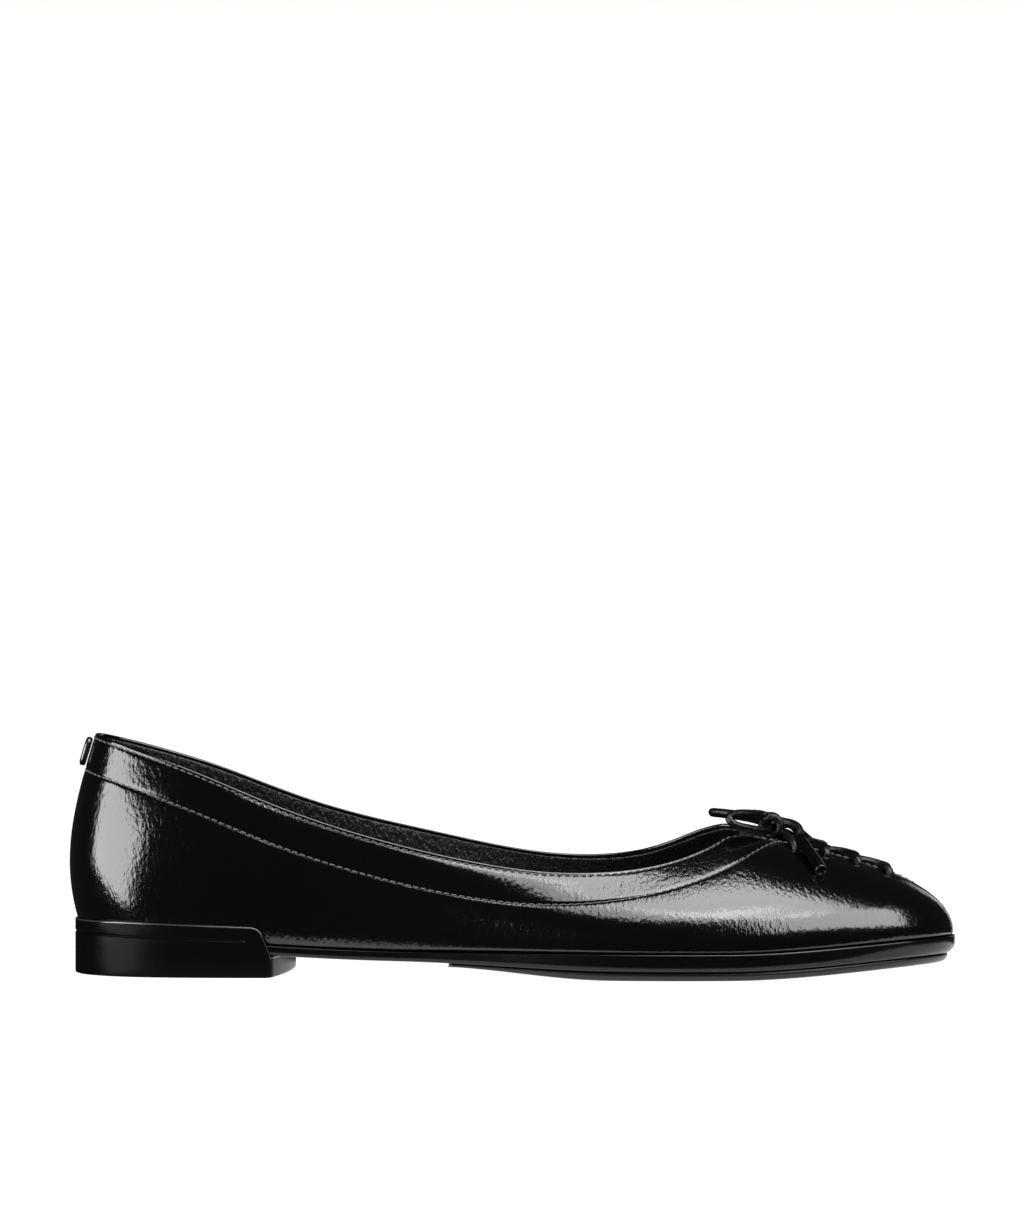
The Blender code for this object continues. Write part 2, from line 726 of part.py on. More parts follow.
def solid_from_curve(cord):
    """The same cord as a mesh, so that another can be joined to it."""
    mesh = bpy.data.meshes.new_from_object(cord.evaluated_get(
        bpy.context.evaluated_depsgraph_get()))
    clean = bmesh.new()
    clean.from_mesh(mesh)
    bmesh.ops.remove_doubles(clean, verts=clean.verts, dist=0.01 * MM)
    bmesh.ops.recalc_face_normals(clean, faces=clean.faces)
    clean.to_mesh(mesh)
    clean.free()
    name, parent = cord.name, cord.parent
    bpy.data.objects.remove(cord)
    solid = bpy.data.objects.new(name, mesh)
    solid.parent = parent
    bpy.context.collection.objects.link(solid)
    return solid


# The bow's cords, as places in millimetres from the middle of the knot
OUTER_LOOP = ((-3.2, -1.6, 2.7), (-7.4, -7.6, 3.2), (-10.5, -10.6, 3.2), (-12.1, -12.6, 2.7),
              (-12.1, -13.8, 1.6), (-10.6, -13.6, 0.3), (-7.8, -12.0, -0.6),
              (-5.0, -9.6, -1.2), (-2.6, -6.8, -1.7), (-1.5, -4.6, -1.9))
INNER_LOOP = ((-3.4, 1.9, 2.2), (-7.0, 5.5, 2.0), (-11.0, 9.0, 2.3), (-14.8, 11.7, 2.6),
              (-16.4, 14.0, 2.5), (-14.8, 16.0, 2.1), (-10.4, 14.8, 1.6), (-5.6, 10.9, 0.9),
              (-1.7, 4.5, 0.2))
OUTER_TAIL = ((3.9, -1.6, 0.4), (5.8, -3.4, 0.2), (7.9, -5.4, -0.8), (9.0, -7.6, -2.1),
              (9.3, -9.2, -3.1))
INNER_TAIL = ((3.6, 2.2, -0.2), (5.4, 4.6, -0.5), (6.8, 7.2, -1.3), (7.6, 9.2, -2.3))
OUTER_AGLET_WAY = (5.65, -12.4, -8.4)
INNER_AGLET_WAY = (5.5, 11.6, -5.6)


def make_bow(tree, material, tip_material, parent):
    """Knot, two loops and two short ends with tips, on the last crossing of the lace."""
    place, _ = on_vamp(tree, hole_places()[-1][0] - KNOT_SETBACK, SLIT_Y)
    centre = place + Vector((0, 0, KNOT_RISE))
    make_knot(centre, material, parent)

    def route(points):
        return [centre + Vector(point) * MM for point in points]

    make_cord("bow_loop_outer", route(OUTER_LOOP), 22, LACE_DIAMETER, material, parent)
    make_cord("bow_loop_inner", route(INNER_LOOP), 24, LACE_DIAMETER, material, parent)
    for side, points, way in (("outer", OUTER_TAIL, OUTER_AGLET_WAY),
                              ("inner", INNER_TAIL, INNER_AGLET_WAY)):
        places = route(points)
        make_cord(f"bow_tail_{side}", places, 6, LACE_DIAMETER, material, parent)
        direction = Vector(way).normalized()
        start = places[-1] + direction * (CLEARANCE + LACE_DIAMETER / 8)
        make_aglet(f"aglet_{side}", start, direction, tip_material, parent)


def make_knot(centre, material, parent):
    shape = bmesh.new()
    bmesh.ops.create_uvsphere(shape, u_segments=14, v_segments=9, radius=0.5)
    for vertex in shape.verts:
        vertex.co = centre + Vector([a * b for a, b in zip(vertex.co, KNOT_SIZE)])
    mesh = bpy.data.meshes.new("bow_knot")
    shape.to_mesh(mesh)
    shape.free()
    mesh.shade_smooth()
    mesh.materials.append(material)
    knot = bpy.data.objects.new("bow_knot", mesh)
    knot.parent = parent
    bpy.context.collection.objects.link(knot)


def make_aglet(name, start, direction, material, parent):
    sides = 12
    across = direction.orthogonal().normalized()
    other = direction.cross(across)
    rings = ((0, AGLET_NARROW), (0.85, AGLET_WIDE), (1, AGLET_WIDE * 0.9))
    vertices = []
    for share, width in rings:
        for k in range(sides):
            turn = 2 * math.pi * k / sides
            arm = across * math.cos(turn) + other * math.sin(turn)
            vertices.append(start + direction * AGLET_LENGTH * share + arm * width / 2)
    faces = grid_faces(len(rings), sides, 0, True)
    faces.append(tuple(range(sides)))
    faces.append(tuple(range(2 * sides, 3 * sides)))
    return new_object(name, vertices, faces, material, parent)


def make_back_bar(material, parent):
    """Plain rounded metal bar on the back seam, just under the topline."""
    below_topline = 1.4 * MM
    v = np.linspace(0, 1, 200)
    back = last_point(np.zeros(len(v)), v)
    top_z = BACK_HEIGHT - below_topline
    middle_z = top_z - BAR_HEIGHT / 2
    middle = Vector([np.interp(middle_z, back[:, 2], back[:, axis]) for axis in range(3)])
    upper_end = Vector([np.interp(top_z, back[:, 2], back[:, axis]) for axis in range(3)])
    up = (upper_end - middle).normalized()
    out = up.cross(Vector((0, 1, 0)))
    shape = bmesh.new()
    bmesh.ops.create_cube(shape, size=1)
    centre = middle + out * (CLEARANCE + BAR_THICKNESS / 2)
    for vertex in shape.verts:
        vertex.co = (centre + out * vertex.co.x * BAR_THICKNESS
                     + Vector((0, 1, 0)) * vertex.co.y * BAR_WIDTH
                     + up * vertex.co.z * BAR_HEIGHT)
    shape.normal_update()
    bmesh.ops.recalc_face_normals(shape, faces=shape.faces)
    mesh = bpy.data.meshes.new("back_bar")
    shape.to_mesh(mesh)
    shape.free()
    mesh.materials.append(material)
    bar = bpy.data.objects.new("back_bar", mesh)
    bar.parent = parent
    bpy.context.collection.objects.link(bar)
    rounding = bar.modifiers.new("rounded edges", "BEVEL")
    rounding.width = 0.6 * MM
    rounding.segments = 2
    return bar


def centre_on_origin(stand, pieces):
    """Move the shoe so that the origin lies on the floor under the middle of its box."""
    bpy.context.view_layer.update()
    graph = bpy.context.evaluated_depsgraph_get()
    corners = []
    for piece in pieces:
        body = piece.evaluated_get(graph)
        corners.extend(vertex.co.copy() for vertex in body.data.vertices)
    for axis in (0, 1):
        values = [corner[axis] for corner in corners]
        stand.location[axis] = -(min(values) + max(values)) / 2


def main():
    for item in list(bpy.data.objects):
        bpy.data.objects.remove(item)
    stand = bpy.data.objects.new("shoe", None)
    bpy.context.collection.objects.link(stand)

    glossy = principled("glossy black leather", (0.006, 0.006, 0.007), 0.12)
    lining = principled("black lining leather", (0.012, 0.012, 0.013), 0.55)
    covered = principled("covered sole edge", (0.006, 0.006, 0.007), 0.15)
    rubber = principled("dark outsole", (0.03, 0.03, 0.032), 0.5)
    lacquer = principled("lacquered heel", (0.005, 0.005, 0.006), 0.1)
    cord = principled("black cord", (0.01, 0.01, 0.011), 0.45)
    tip = principled("black lace tip", (0.008, 0.008, 0.008), 0.15)
    metal = principled("dark metal", (0.1, 0.1, 0.105), 0.25, 1.0)

    tree = vamp_tree()
    upper = make_upper(glossy, stand)
    cut_holes(upper, tree, glossy, stand)
    insole = make_insole(lining, stand)
    midsole = make_midsole(covered, stand)
    outsole = make_outsole(rubber, stand)
    heel = make_heel(lacquer, stand)
    tongue = make_tongue(tree, lining, stand)
    make_lacing(tree, cord, stand)
    make_bow(tree, cord, tip, stand)
    bar = make_back_bar(metal, stand)
    centre_on_origin(stand, (upper, insole, midsole, outsole, heel, tongue, bar))


main()
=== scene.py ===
"""Looks of the right ballet flat: glazed black leather, laced vamp, cord bow, low heel block.

The shoe stands on z = 0 with its toe to +X, its outer side to -Y and its inner side to +Y. The
sections below dress one piece each, in the order in which the shoe is put together.
"""
import math

import bmesh
import bpy
import numpy as np
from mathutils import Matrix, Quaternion, Vector
from mathutils.bvhtree import BVHTree
from mathutils.kdtree import KDTree


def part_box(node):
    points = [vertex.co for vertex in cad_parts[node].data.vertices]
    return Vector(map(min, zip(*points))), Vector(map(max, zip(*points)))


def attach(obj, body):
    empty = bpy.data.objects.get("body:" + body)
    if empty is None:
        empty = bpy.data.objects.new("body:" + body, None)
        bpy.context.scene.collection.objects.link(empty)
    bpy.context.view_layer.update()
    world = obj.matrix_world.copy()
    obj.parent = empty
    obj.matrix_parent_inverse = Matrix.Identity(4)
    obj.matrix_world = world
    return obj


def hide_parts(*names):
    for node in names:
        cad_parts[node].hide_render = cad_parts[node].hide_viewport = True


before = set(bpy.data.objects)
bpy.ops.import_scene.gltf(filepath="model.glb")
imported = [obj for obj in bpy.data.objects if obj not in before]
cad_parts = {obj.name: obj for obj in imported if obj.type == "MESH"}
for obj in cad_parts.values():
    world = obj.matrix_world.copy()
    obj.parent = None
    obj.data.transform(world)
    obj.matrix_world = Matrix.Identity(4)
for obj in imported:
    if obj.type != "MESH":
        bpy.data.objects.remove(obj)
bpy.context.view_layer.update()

# Upper, outer leather. Black leather glazed to a high gloss, pulled over the last in one piece.
# Its topline and the edges of the slit in the vamp are folded over and stitched, and a second
# row of stitches holds the collar band a finger's breadth lower.
MM = 0.001
SHOE_LENGTH = 250 * MM
BALL_WIDTH = 76.5 * MM
HEEL_WIDTH = 46.8 * MM
BACK_HEIGHT = 67.6 * MM
SIDE_HEIGHT = 30 * MM
INSTEP_HEIGHT = 42 * MM
TOE_SPRING = 3.1 * MM
CLEARANCE = 0.3 * MM
MIDSOLE_FOREPART = 4.8 * MM
MIDSOLE_WAIST = 2.7 * MM
OUTSOLE_THICKNESS = 2.3 * MM
OUTSOLE_LENGTH = 142.5 * MM
HEEL_SEAT_HEIGHT = 8.5 * MM
HEEL_SLOPE_END = 0.40
HOLE_DIAMETER = 2.8 * MM
HOLE_SETBACK = 3.2 * MM
HOLE_PITCH = 8.9 * MM
FIRST_HOLE = 6.0 * MM
HOLE_PAIRS = 4
TOE_SPRING_START = 0.74
TOPLINE_REACH = 20 * MM
SLIT_WIDTH = 18.4 * MM
SLIT_LENGTH = 49 * MM
SLIT_POWER = 0.6
LEATHER = 1.1 * MM
WALL = 1.8 * MM
BAND_WIDTH = 10.7 * MM
EDGE_STITCH = 1.25 * MM
STITCH_PITCH = 2.2 * MM

# One row for each section round the last, from the middle of the back over the outer side.
# along and top_along are shares of the shoe's length, across and top_across shares of width,
# back_rise and throat_rise lift the topline, lean and roll are degrees from the vertical.
SECTION_COLUMNS = ("width", "along", "across", "top_along", "top_across", "back_rise",
                   "throat_rise", "lean", "roll", "low_pull", "top_pull")
SECTIONS = (
    (HEEL_WIDTH, 0.0136, 0.000, 0.029, 0.000, 1.000, 0.00, 20, 17, 0.37, 0.38),
    (HEEL_WIDTH, 0.043, -0.338, 0.047, -0.267, 0.963, 0.00, 19, 15, 0.37, 0.38),
    (HEEL_WIDTH, 0.120, -0.500, 0.128, -0.460, 0.779, 0.00, 15, 12, 0.38, 0.38),
    (HEEL_WIDTH, 0.240, -0.534, 0.248, -0.502, 0.457, 0.00, 13, 10, 0.38, 0.38),
    (BALL_WIDTH, 0.392, -0.366, 0.398, -0.340, 0.160, 0.00, 12, 13, 0.38, 0.36),
    (BALL_WIDTH, 0.540, -0.470, 0.536, -0.373, 0.013, 0.00, 12, 30, 0.36, 0.38),
    (BALL_WIDTH, 0.660, -0.531, 0.628, -0.346, 0.000, 0.05, 10, 47, 0.32, 0.42),
    (BALL_WIDTH, 0.800, -0.494, 0.704, -0.255, 0.000, 0.41, 7, 62, 0.26, 0.50),
    (BALL_WIDTH, 0.900, -0.382, 0.736, -0.170, 0.000, 0.75, 4, 70, 0.23, 0.55),
    (BALL_WIDTH, 0.964, -0.233, 0.749, -0.085, 0.000, 0.93, 2, 74, 0.21, 0.57),
    (BALL_WIDTH, 0.998, -0.013, 0.753, -0.013, 0.000, 1.00, 1.5, 75, 0.20, 0.58),
    (BALL_WIDTH, 0.976, 0.197, 0.751, 0.059, 0.000, 1.01, 2, 74, 0.21, 0.57),
    (BALL_WIDTH, 0.920, 0.337, 0.745, 0.118, 0.000, 0.99, 4, 71, 0.23, 0.55),
    (BALL_WIDTH, 0.832, 0.431, 0.714, 0.207, 0.000, 0.82, 6, 64, 0.26, 0.50),
    (BALL_WIDTH, 0.720, 0.465, 0.652, 0.306, 0.000, 0.33, 10, 50, 0.31, 0.43),
    (BALL_WIDTH, 0.592, 0.392, 0.552, 0.327, 0.070, 0.00, 14, 28, 0.36, 0.38),
    (BALL_WIDTH, 0.432, 0.268, 0.412, 0.294, 0.234, 0.00, 22, 8, 0.38, 0.36),
    (HEEL_WIDTH, 0.260, 0.444, 0.264, 0.481, 0.489, 0.00, 20, 9, 0.38, 0.38),
    (HEEL_WIDTH, 0.128, 0.491, 0.136, 0.449, 0.798, 0.00, 15, 12, 0.38, 0.38),
    (HEEL_WIDTH, 0.043, 0.333, 0.047, 0.267, 0.968, 0.00, 19, 15, 0.37, 0.38),
)
TIP_SECTION = 10

# The last's own frame starts at the back of the heel; this moves it to where the solids stand.
bar_low, bar_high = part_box("back_bar")
STAND = np.array((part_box("outsole")[0][0] - SHOE_LENGTH + OUTSOLE_LENGTH,
                  (bar_low[1] + bar_high[1]) / 2, 0))


def smooth(value):
    share = np.clip(value, 0, 1)
    return share * share * (3 - 2 * share)


def lengths_along(line):
    """Distance run from a line's first point to each of its points."""
    steps = np.linalg.norm(np.diff(line, axis=0), axis=1)
    return np.concatenate(([0], np.cumsum(steps)))


def places_along(line, along, spots):
    """Places on a line at those distances, where along holds its points' own distances."""
    return np.column_stack([np.interp(spots, along, column) for column in line.T])


def bed_height(x):
    ball = OUTSOLE_THICKNESS + MIDSOLE_FOREPART + 2 * CLEARANCE
    back = HEEL_SEAT_HEIGHT + MIDSOLE_WAIST + CLEARANCE
    slope = np.clip(x / (HEEL_SLOPE_END * SHOE_LENGTH), 0, 1)
    heel_lift = (back - ball) * (1 + np.cos(math.pi * slope)) / 2
    start = TOE_SPRING_START * SHOE_LENGTH
    return ball + heel_lift + TOE_SPRING * smooth((x - start) / (SHOE_LENGTH - start))


def section_values(row):
    cell = dict(zip(SECTION_COLUMNS, row))
    top_z = (SIDE_HEIGHT + cell["back_rise"] * (BACK_HEIGHT - SIDE_HEIGHT)
             + cell["throat_rise"] * (INSTEP_HEIGHT - SIDE_HEIGHT))
    return (cell["along"] * SHOE_LENGTH, cell["across"] * cell["width"],
            cell["top_along"] * SHOE_LENGTH, cell["top_across"] * cell["width"], top_z,
            math.radians(cell["lean"]), math.radians(cell["roll"]),
            cell["low_pull"], cell["top_pull"])


rows = np.array([section_values(row) for row in SECTIONS])
knots = lengths_along(np.vstack((rows, rows[:1]))[:, :2])
AROUND = knots[-1]
TIP = knots[TIP_SECTION]
# First columns of a section's plan place at the feather edge and at the topline
FEATHER = 0
TOPLINE = 2
# Steps over which slopes of the last's surface are taken, round it and up it
ROUND_STEP = 0.2 * MM
LEVEL_STEP = 0.004


def spline_bends():
    """Second derivatives of the smooth closed curve through the sections."""
    count = len(rows)
    spans = np.diff(knots)
    system = np.zeros((count, count))
    right = np.zeros_like(rows)
    for i in range(count):
        before, after = spans[i - 1], spans[i]
        system[i, i - 1] += before
        system[i, i] += 2 * (before + after)
        system[i, (i + 1) % count] += after
        rise = (rows[(i + 1) % count] - rows[i]) / after
        fall = (rows[i] - rows[i - 1]) / before
        right[i] = 6 * (rise - fall)
    return np.linalg.solve(system, right)


bends = spline_bends()


def section_at(u):
    u = np.mod(np.atleast_1d(u), AROUND)
    i = np.clip(np.searchsorted(knots, u, side="right") - 1, 0, len(rows) - 1)
    j = (i + 1) % len(rows)
    span = (knots[i + 1] - knots[i])[:, None]
    a = knots[i + 1][:, None] - u[:, None]
    b = u[:, None] - knots[i][:, None]
    curve = (bends[i] * a**3 + bends[j] * b**3) / (6 * span)
    return (curve + (rows[i] / span - bends[i] * span / 6) * a
            + (rows[j] / span - bends[j] * span / 6) * b)


def plan_normal(first, u):
    run = (section_at(u + ROUND_STEP) - section_at(u - ROUND_STEP))[:, first:first + 2]
    run /= np.linalg.norm(run, axis=1)[:, None]
    return np.column_stack((run[:, 1], -run[:, 0]))


def last_point(u, v):
    """Points of the outer surface: u runs round the last, v from feather edge to topline."""
    u = np.atleast_1d(np.asarray(u, float))
    v = np.broadcast_to(np.asarray(v, float), u.shape)[:, None]
    row = section_at(u)
    low = np.column_stack((row[:, 0:2], bed_height(row[:, 0])))
    top = row[:, 2:5]
    lean, roll = row[:, 5:6], row[:, 6:7]
    chord = np.linalg.norm(top - low, axis=1)[:, None]
    out_top = (low - top)[:, :2] + TOPLINE_REACH * plan_normal(TOPLINE, u)
    out_top /= np.linalg.norm(out_top, axis=1)[:, None]
    low_way = np.column_stack((np.sin(lean) * plan_normal(FEATHER, u), np.cos(lean)))
    top_way = np.column_stack((np.sin(roll) * out_top, -np.cos(roll)))
    low_handle = low + row[:, 7:8] * chord * low_way
    top_handle = top + row[:, 8:9] * chord * top_way
    w = 1 - v
    return w**3 * low + 3 * w**2 * v * low_handle + 3 * w * v**2 * top_handle + v**3 * top


def last_normal(u, v):
    u = np.atleast_1d(np.asarray(u, float))
    v = np.broadcast_to(np.asarray(v, float), u.shape)
    along = last_point(u + ROUND_STEP, v) - last_point(u - ROUND_STEP, v)
    up = (last_point(u, np.minimum(v + LEVEL_STEP, 1))
          - last_point(u, np.maximum(v - LEVEL_STEP, 0)))
    normal = np.cross(along, up)
    return normal / np.linalg.norm(normal, axis=1)[:, None]


THROAT = last_point(TIP, 1)[0]
SLIT_Y = THROAT[1]
SLIT_END = THROAT[0] + SLIT_LENGTH


def slit_half_width(x):
    return SLIT_WIDTH / 2 * np.clip((SLIT_END - x) / SLIT_LENGTH, 0, None)**SLIT_POWER


def in_slit(points):
    ahead = points[:, 0] > THROAT[0] - SLIT_WIDTH / 2
    return ahead & (np.abs(points[:, 1] - SLIT_Y) < slit_half_width(points[:, 0]))


def slit_reach(u):
    """How far up a section runs before it meets the slit, or 1 at the topline."""
    levels = np.linspace(0, 1, 200)
    inside = in_slit(last_point(np.full(len(levels), u), levels))
    if not inside.any():
        return 1.0
    first = int(np.argmax(inside))
    low, high = levels[max(first - 1, 0)], levels[first]
    for _ in range(24):
        middle = (low + high) / 2
        if in_slit(last_point(u, middle))[0]:
            high = middle
        else:
            low = middle
    return low


SEARCH_SHARE = 0.3
search = np.linspace(TIP - SEARCH_SHARE * AROUND, TIP + SEARCH_SHARE * AROUND, 4000)
crossed = np.flatnonzero(in_slit(last_point(search, 1)))
PEAK_OUTER, PEAK_INNER = search[crossed[0]], search[crossed[-1]]

# Columns of points run up the last: so many on each side of the slit, and so many elsewhere.
SLIT_COLUMNS = 90
SIDE_COLUMNS = 640
columns = np.concatenate((
    np.linspace(PEAK_OUTER, TIP, SLIT_COLUMNS, endpoint=False),
    np.linspace(TIP, PEAK_INNER, SLIT_COLUMNS, endpoint=False),
    np.linspace(PEAK_INNER, PEAK_OUTER + AROUND, SIDE_COLUMNS, endpoint=False)))
reach = np.array([slit_reach(u) if i < 2 * SLIT_COLUMNS else 1.0
                  for i, u in enumerate(columns)])

# The two corners where topline and slit meet are rounded off.
CORNER_REACH = 4.5 * MM
CORNER_CUT = 1.3 * MM
LEVELS = 181
level_shares = np.linspace(0, 1, LEVELS)[:, None]


def column_lines(reach):
    """Each column as points from feather edge to top, with their distance from the top."""
    lines = np.array([last_point(columns, reach * share) for share in level_shares[:, 0]])
    steps = np.linalg.norm(np.diff(lines, axis=0), axis=2)
    from_low = np.vstack((np.zeros(len(columns)), np.cumsum(steps, axis=0)))
    return lines, from_low[-1] - from_low


lines, below = column_lines(reach)
edge = lines[-1]
for corner in (0, 2 * SLIT_COLUMNS):
    gap = np.linalg.norm(edge - edge[corner], axis=1)
    cut = CORNER_CUT * np.clip(1 - gap / CORNER_REACH, 0, 1)**2
    reach = reach * (1 - cut / below[0])
lines, below = column_lines(reach)

# The band keeps its distance from a line that runs on straight past the slit's corners.
PAST_CORNER = 16 * MM
PAST_CORNER_POINTS = 12
CORNER_COLUMNS = 12
END_COLUMNS = 6
topline = lines[-1, 2 * SLIT_COLUMNS + CORNER_COLUMNS:-CORNER_COLUMNS]
run_on = np.linspace(0, PAST_CORNER, PAST_CORNER_POINTS)[1:, None]
first_way = topline[0] - topline[END_COLUMNS]
last_way = topline[-1] - topline[-1 - END_COLUMNS]
topline = np.vstack(((topline[0] + run_on * first_way / np.linalg.norm(first_way))[::-1], topline,
                     topline[-1] + run_on * last_way / np.linalg.norm(last_way)))
tree = KDTree(len(topline))
for i, point in enumerate(topline):
    tree.insert(point, i)
tree.balance()


def from_topline(points):
    """Distance of each point from the topline's nearest stretch."""
    gaps = np.empty(len(points))
    for k, point in enumerate(points):
        _, near, _ = tree.find(point)
        best = None
        for first in (near - 1, near):
            if 0 <= first < len(topline) - 1:
                start, run = topline[first], topline[first + 1] - topline[first]
                share = np.clip(np.dot(point - start, run) / np.dot(run, run), 0, 1)
                gap = np.linalg.norm(point - start - share * run)
                best = gap if best is None else min(best, gap)
        gaps[k] = best
    return gaps


BAND_SEARCH = 1.9 * BAND_WIDTH


def band_depths():
    """For each column, how far below its top the band's stitches cross it."""
    depths = np.full(len(columns), np.nan)
    for j in range(len(columns)):
        near_top = np.flatnonzero(below[:, j] < BAND_SEARCH)[::-1]
        gaps = from_topline(lines[near_top, j])
        past = np.flatnonzero(gaps >= BAND_WIDTH)
        if len(past) and past[0] > 0:
            k = past[0]
            share = (BAND_WIDTH - gaps[k - 1]) / (gaps[k] - gaps[k - 1])
            t = below[near_top, j]
            depths[j] = t[k - 1] + share * (t[k] - t[k - 1])
    return depths


band = band_depths()
LEAST_BAND = 4 * MM
band_row = np.maximum(np.where(np.isnan(band), 0, band), LEAST_BAND)


def at_depth(depth):
    """Shares v of the columns at a distance below their tops."""
    depth = np.broadcast_to(depth, columns.shape)
    v = np.empty(len(columns))
    for j in range(len(columns)):
        v[j] = reach[j] * np.interp(depth[j], below[::-1, j], level_shares[::-1, 0])
    return v


def dip(distance, width):
    return np.exp(-(distance / width)**2)


# Soft folds of worn-in leather: where they lie on the side (x, z), which way they run in
# degrees, how long and how wide they are, and how deep.
FOLD_COLUMNS = ("x", "z", "turn", "long", "wide", "deep")
SOFT_FOLDS = (
    (31, 37, 96, 9, 7.0, 0.34),
    (74, 27, 62, 26, 7.0, 0.16),
    (118, 34, -9, 24, 6.0, 0.45),
    (92, 22, 20, 22, 4.5, -0.10),
    (128, 22, 8, 34, 5.0, 0.12),
    (160, 27, -14, 20, 4.0, 0.10),
    (172, 20, -4, 30, 5.0, -0.08),
    (214, 22, -20, 18, 4.5, 0.07),
)
FOLD_FADE = 1.4


def folds(points, normals):
    """Inward push of the soft folds, on both sides of the shoe."""
    push = np.zeros(len(points))
    sideways = np.clip(np.abs(normals[:, 1]) * FOLD_FADE, 0, 1)
    for row in SOFT_FOLDS:
        fold = dict(zip(FOLD_COLUMNS, row))
        turn = math.radians(fold["turn"])
        x = points[:, 0] / MM - fold["x"]
        z = points[:, 2] / MM - fold["z"]
        along = x * math.cos(turn) + z * math.sin(turn)
        across = -x * math.sin(turn) + z * math.cos(turn)
        push += (fold["deep"] * MM * np.exp(-(along / fold["long"])**2)
                 * np.exp(-(across / fold["wide"])**2))
    return push * sideways


# The whole outer surface, also where the slit opens it, as something to rest cords on.
drape_rows, drape_columns = 80, 320
drape = []
for k in range(drape_rows):
    drape.extend(last_point(np.linspace(0, AROUND, drape_columns, endpoint=False),
                            k / (drape_rows - 1)))
drape_faces = []
for k in range(drape_rows - 1):
    for j in range(drape_columns):
        a, b = k * drape_columns + j, k * drape_columns + (j + 1) % drape_columns
        drape_faces.append((a, b, b + drape_columns, a + drape_columns))
last_tree = BVHTree.FromPolygons([Vector(point) for point in drape], drape_faces)


def on_vamp(x, y):
    """Point and normal of the outer surface below (x, y)."""
    place, normal, _, _ = last_tree.ray_cast(Vector((x, y, 1)), Vector((0, 0, -1)))
    return place, normal if normal.z > 0 else -normal


def hole_places():
    """Plan places of the lace holes, from the toe back: (x, half the distance across)."""
    xs = [SLIT_END - FIRST_HOLE - k * HOLE_PITCH for k in range(HOLE_PAIRS)]
    return [(x, float(slit_half_width(x)) + HOLE_SETBACK) for x in xs]


holes = [on_vamp(x, SLIT_Y + side * half) for x, half in hole_places() for side in (-1, 1)]

# How deep the leather dips, and how wide each dip is: at the edge's stitches, where the topline
# is rolled inward, at the band's stitches, in the band's soft pillow and round the holes.
EDGE_DIP, EDGE_DIP_WIDTH = 0.13 * MM, 0.45 * MM
ROLL_DIP, ROLL_DIP_WIDTH = 0.42 * MM, 2.3 * MM
BAND_DIP, BAND_DIP_WIDTH = 0.22 * MM, 0.5 * MM
PILLOW_DIP, PILLOW_DIP_WIDTH = 0.05 * MM, 2.2 * MM
HOLE_DIP, HOLE_DIP_WIDTH = 0.16 * MM, 2.3 * MM
# The roll comes and goes along the shoe, each time over a length of its own.
ROLL_START, ROLL_START_LENGTH = 34 * MM, 20 * MM
ROLL_END, ROLL_END_LENGTH = 128 * MM, 22 * MM
NEAR_BAND = 4 * MM


def leather_row(depth):
    """Outer face of the leather at a distance below its top edge, with its stitched dips."""
    v = at_depth(depth)
    points, normals = last_point(columns, v), last_normal(columns, v)
    depth = np.broadcast_to(depth, columns.shape)
    push = EDGE_DIP * dip(depth - EDGE_STITCH, EDGE_DIP_WIDTH)
    rolled = (smooth((points[:, 0] - ROLL_START) / ROLL_START_LENGTH)
              * (1 - smooth((points[:, 0] - ROLL_END) / ROLL_END_LENGTH)))
    push += ROLL_DIP * rolled * dip(depth, ROLL_DIP_WIDTH)
    near = depth < band_row + NEAR_BAND
    gaps = np.full(len(columns), np.inf)
    gaps[near] = from_topline(points[near])
    push += BAND_DIP * dip(gaps - BAND_WIDTH, BAND_DIP_WIDTH)
    push += PILLOW_DIP * dip(gaps - BAND_WIDTH, PILLOW_DIP_WIDTH)
    push += folds(points, normals)
    for place, _ in holes:
        push += HOLE_DIP * dip(np.linalg.norm(points - np.array(place), axis=1), HOLE_DIP_WIDTH)
    return points - normals * push[:, None], normals


# Rows of points in millimetres, below the top edge and from the band's line of stitches, with
# even rows in the band and below it.
EDGE_ROWS = (0.8, 1.0, 1.25, 1.5, 1.8, 2.4, 3.2)
BAND_ROWS = (-1.3, -0.9, -0.6, -0.4, -0.2, 0, 0.2, 0.4, 0.6, 0.9, 1.3)
ROWS_IN_BAND = 6
ROWS_BELOW_BAND = 44
LOWEST_ROW = 0.9 * MM


def row_depths():
    """Depths of the rows of the outer face, close together at the stitches."""
    depths = [np.full(len(columns), LEATHER / 2)]
    depths += [np.full(len(columns), row * MM) for row in EDGE_ROWS]
    start, end = depths[-1], band_row + BAND_ROWS[0] * MM
    depths += [start + (end - start) * k / ROWS_IN_BAND for k in range(1, ROWS_IN_BAND)]
    depths += [band_row + row * MM for row in BAND_ROWS]
    start, end = depths[-1], below[0] - LOWEST_ROW
    depths += [start + (end - start) * (k + 1) / ROWS_BELOW_BAND for k in range(ROWS_BELOW_BAND)]
    return depths


def folded_edge(outer, normals, up, thickness):
    """Rows that carry the leather over its edge, from its outer face to its inner face."""
    folded = []
    middle = outer - normals * thickness / 2
    for turn in np.radians(range(30, 180, 30)):
        arm = math.cos(turn) * normals + math.sin(turn) * up
        folded.append(middle + arm * thickness / 2)
    return folded


def grid_faces(rows, columns, start=0):
    faces = []
    for i in range(rows - 1):
        for j in range(columns):
            a = start + i * columns + j
            b = start + i * columns + (j + 1) % columns
            faces.append((a, b, b + columns, a + columns))
    return faces


def tube_faces(rings, sides, start=0):
    """Faces of a tube of that many rings, with a flat face over each end."""
    faces = grid_faces(rings, sides, start)
    last = start + (rings - 1) * sides
    faces.append(tuple(range(start, start + sides)))
    faces.append(tuple(range(last, last + sides)))
    return faces


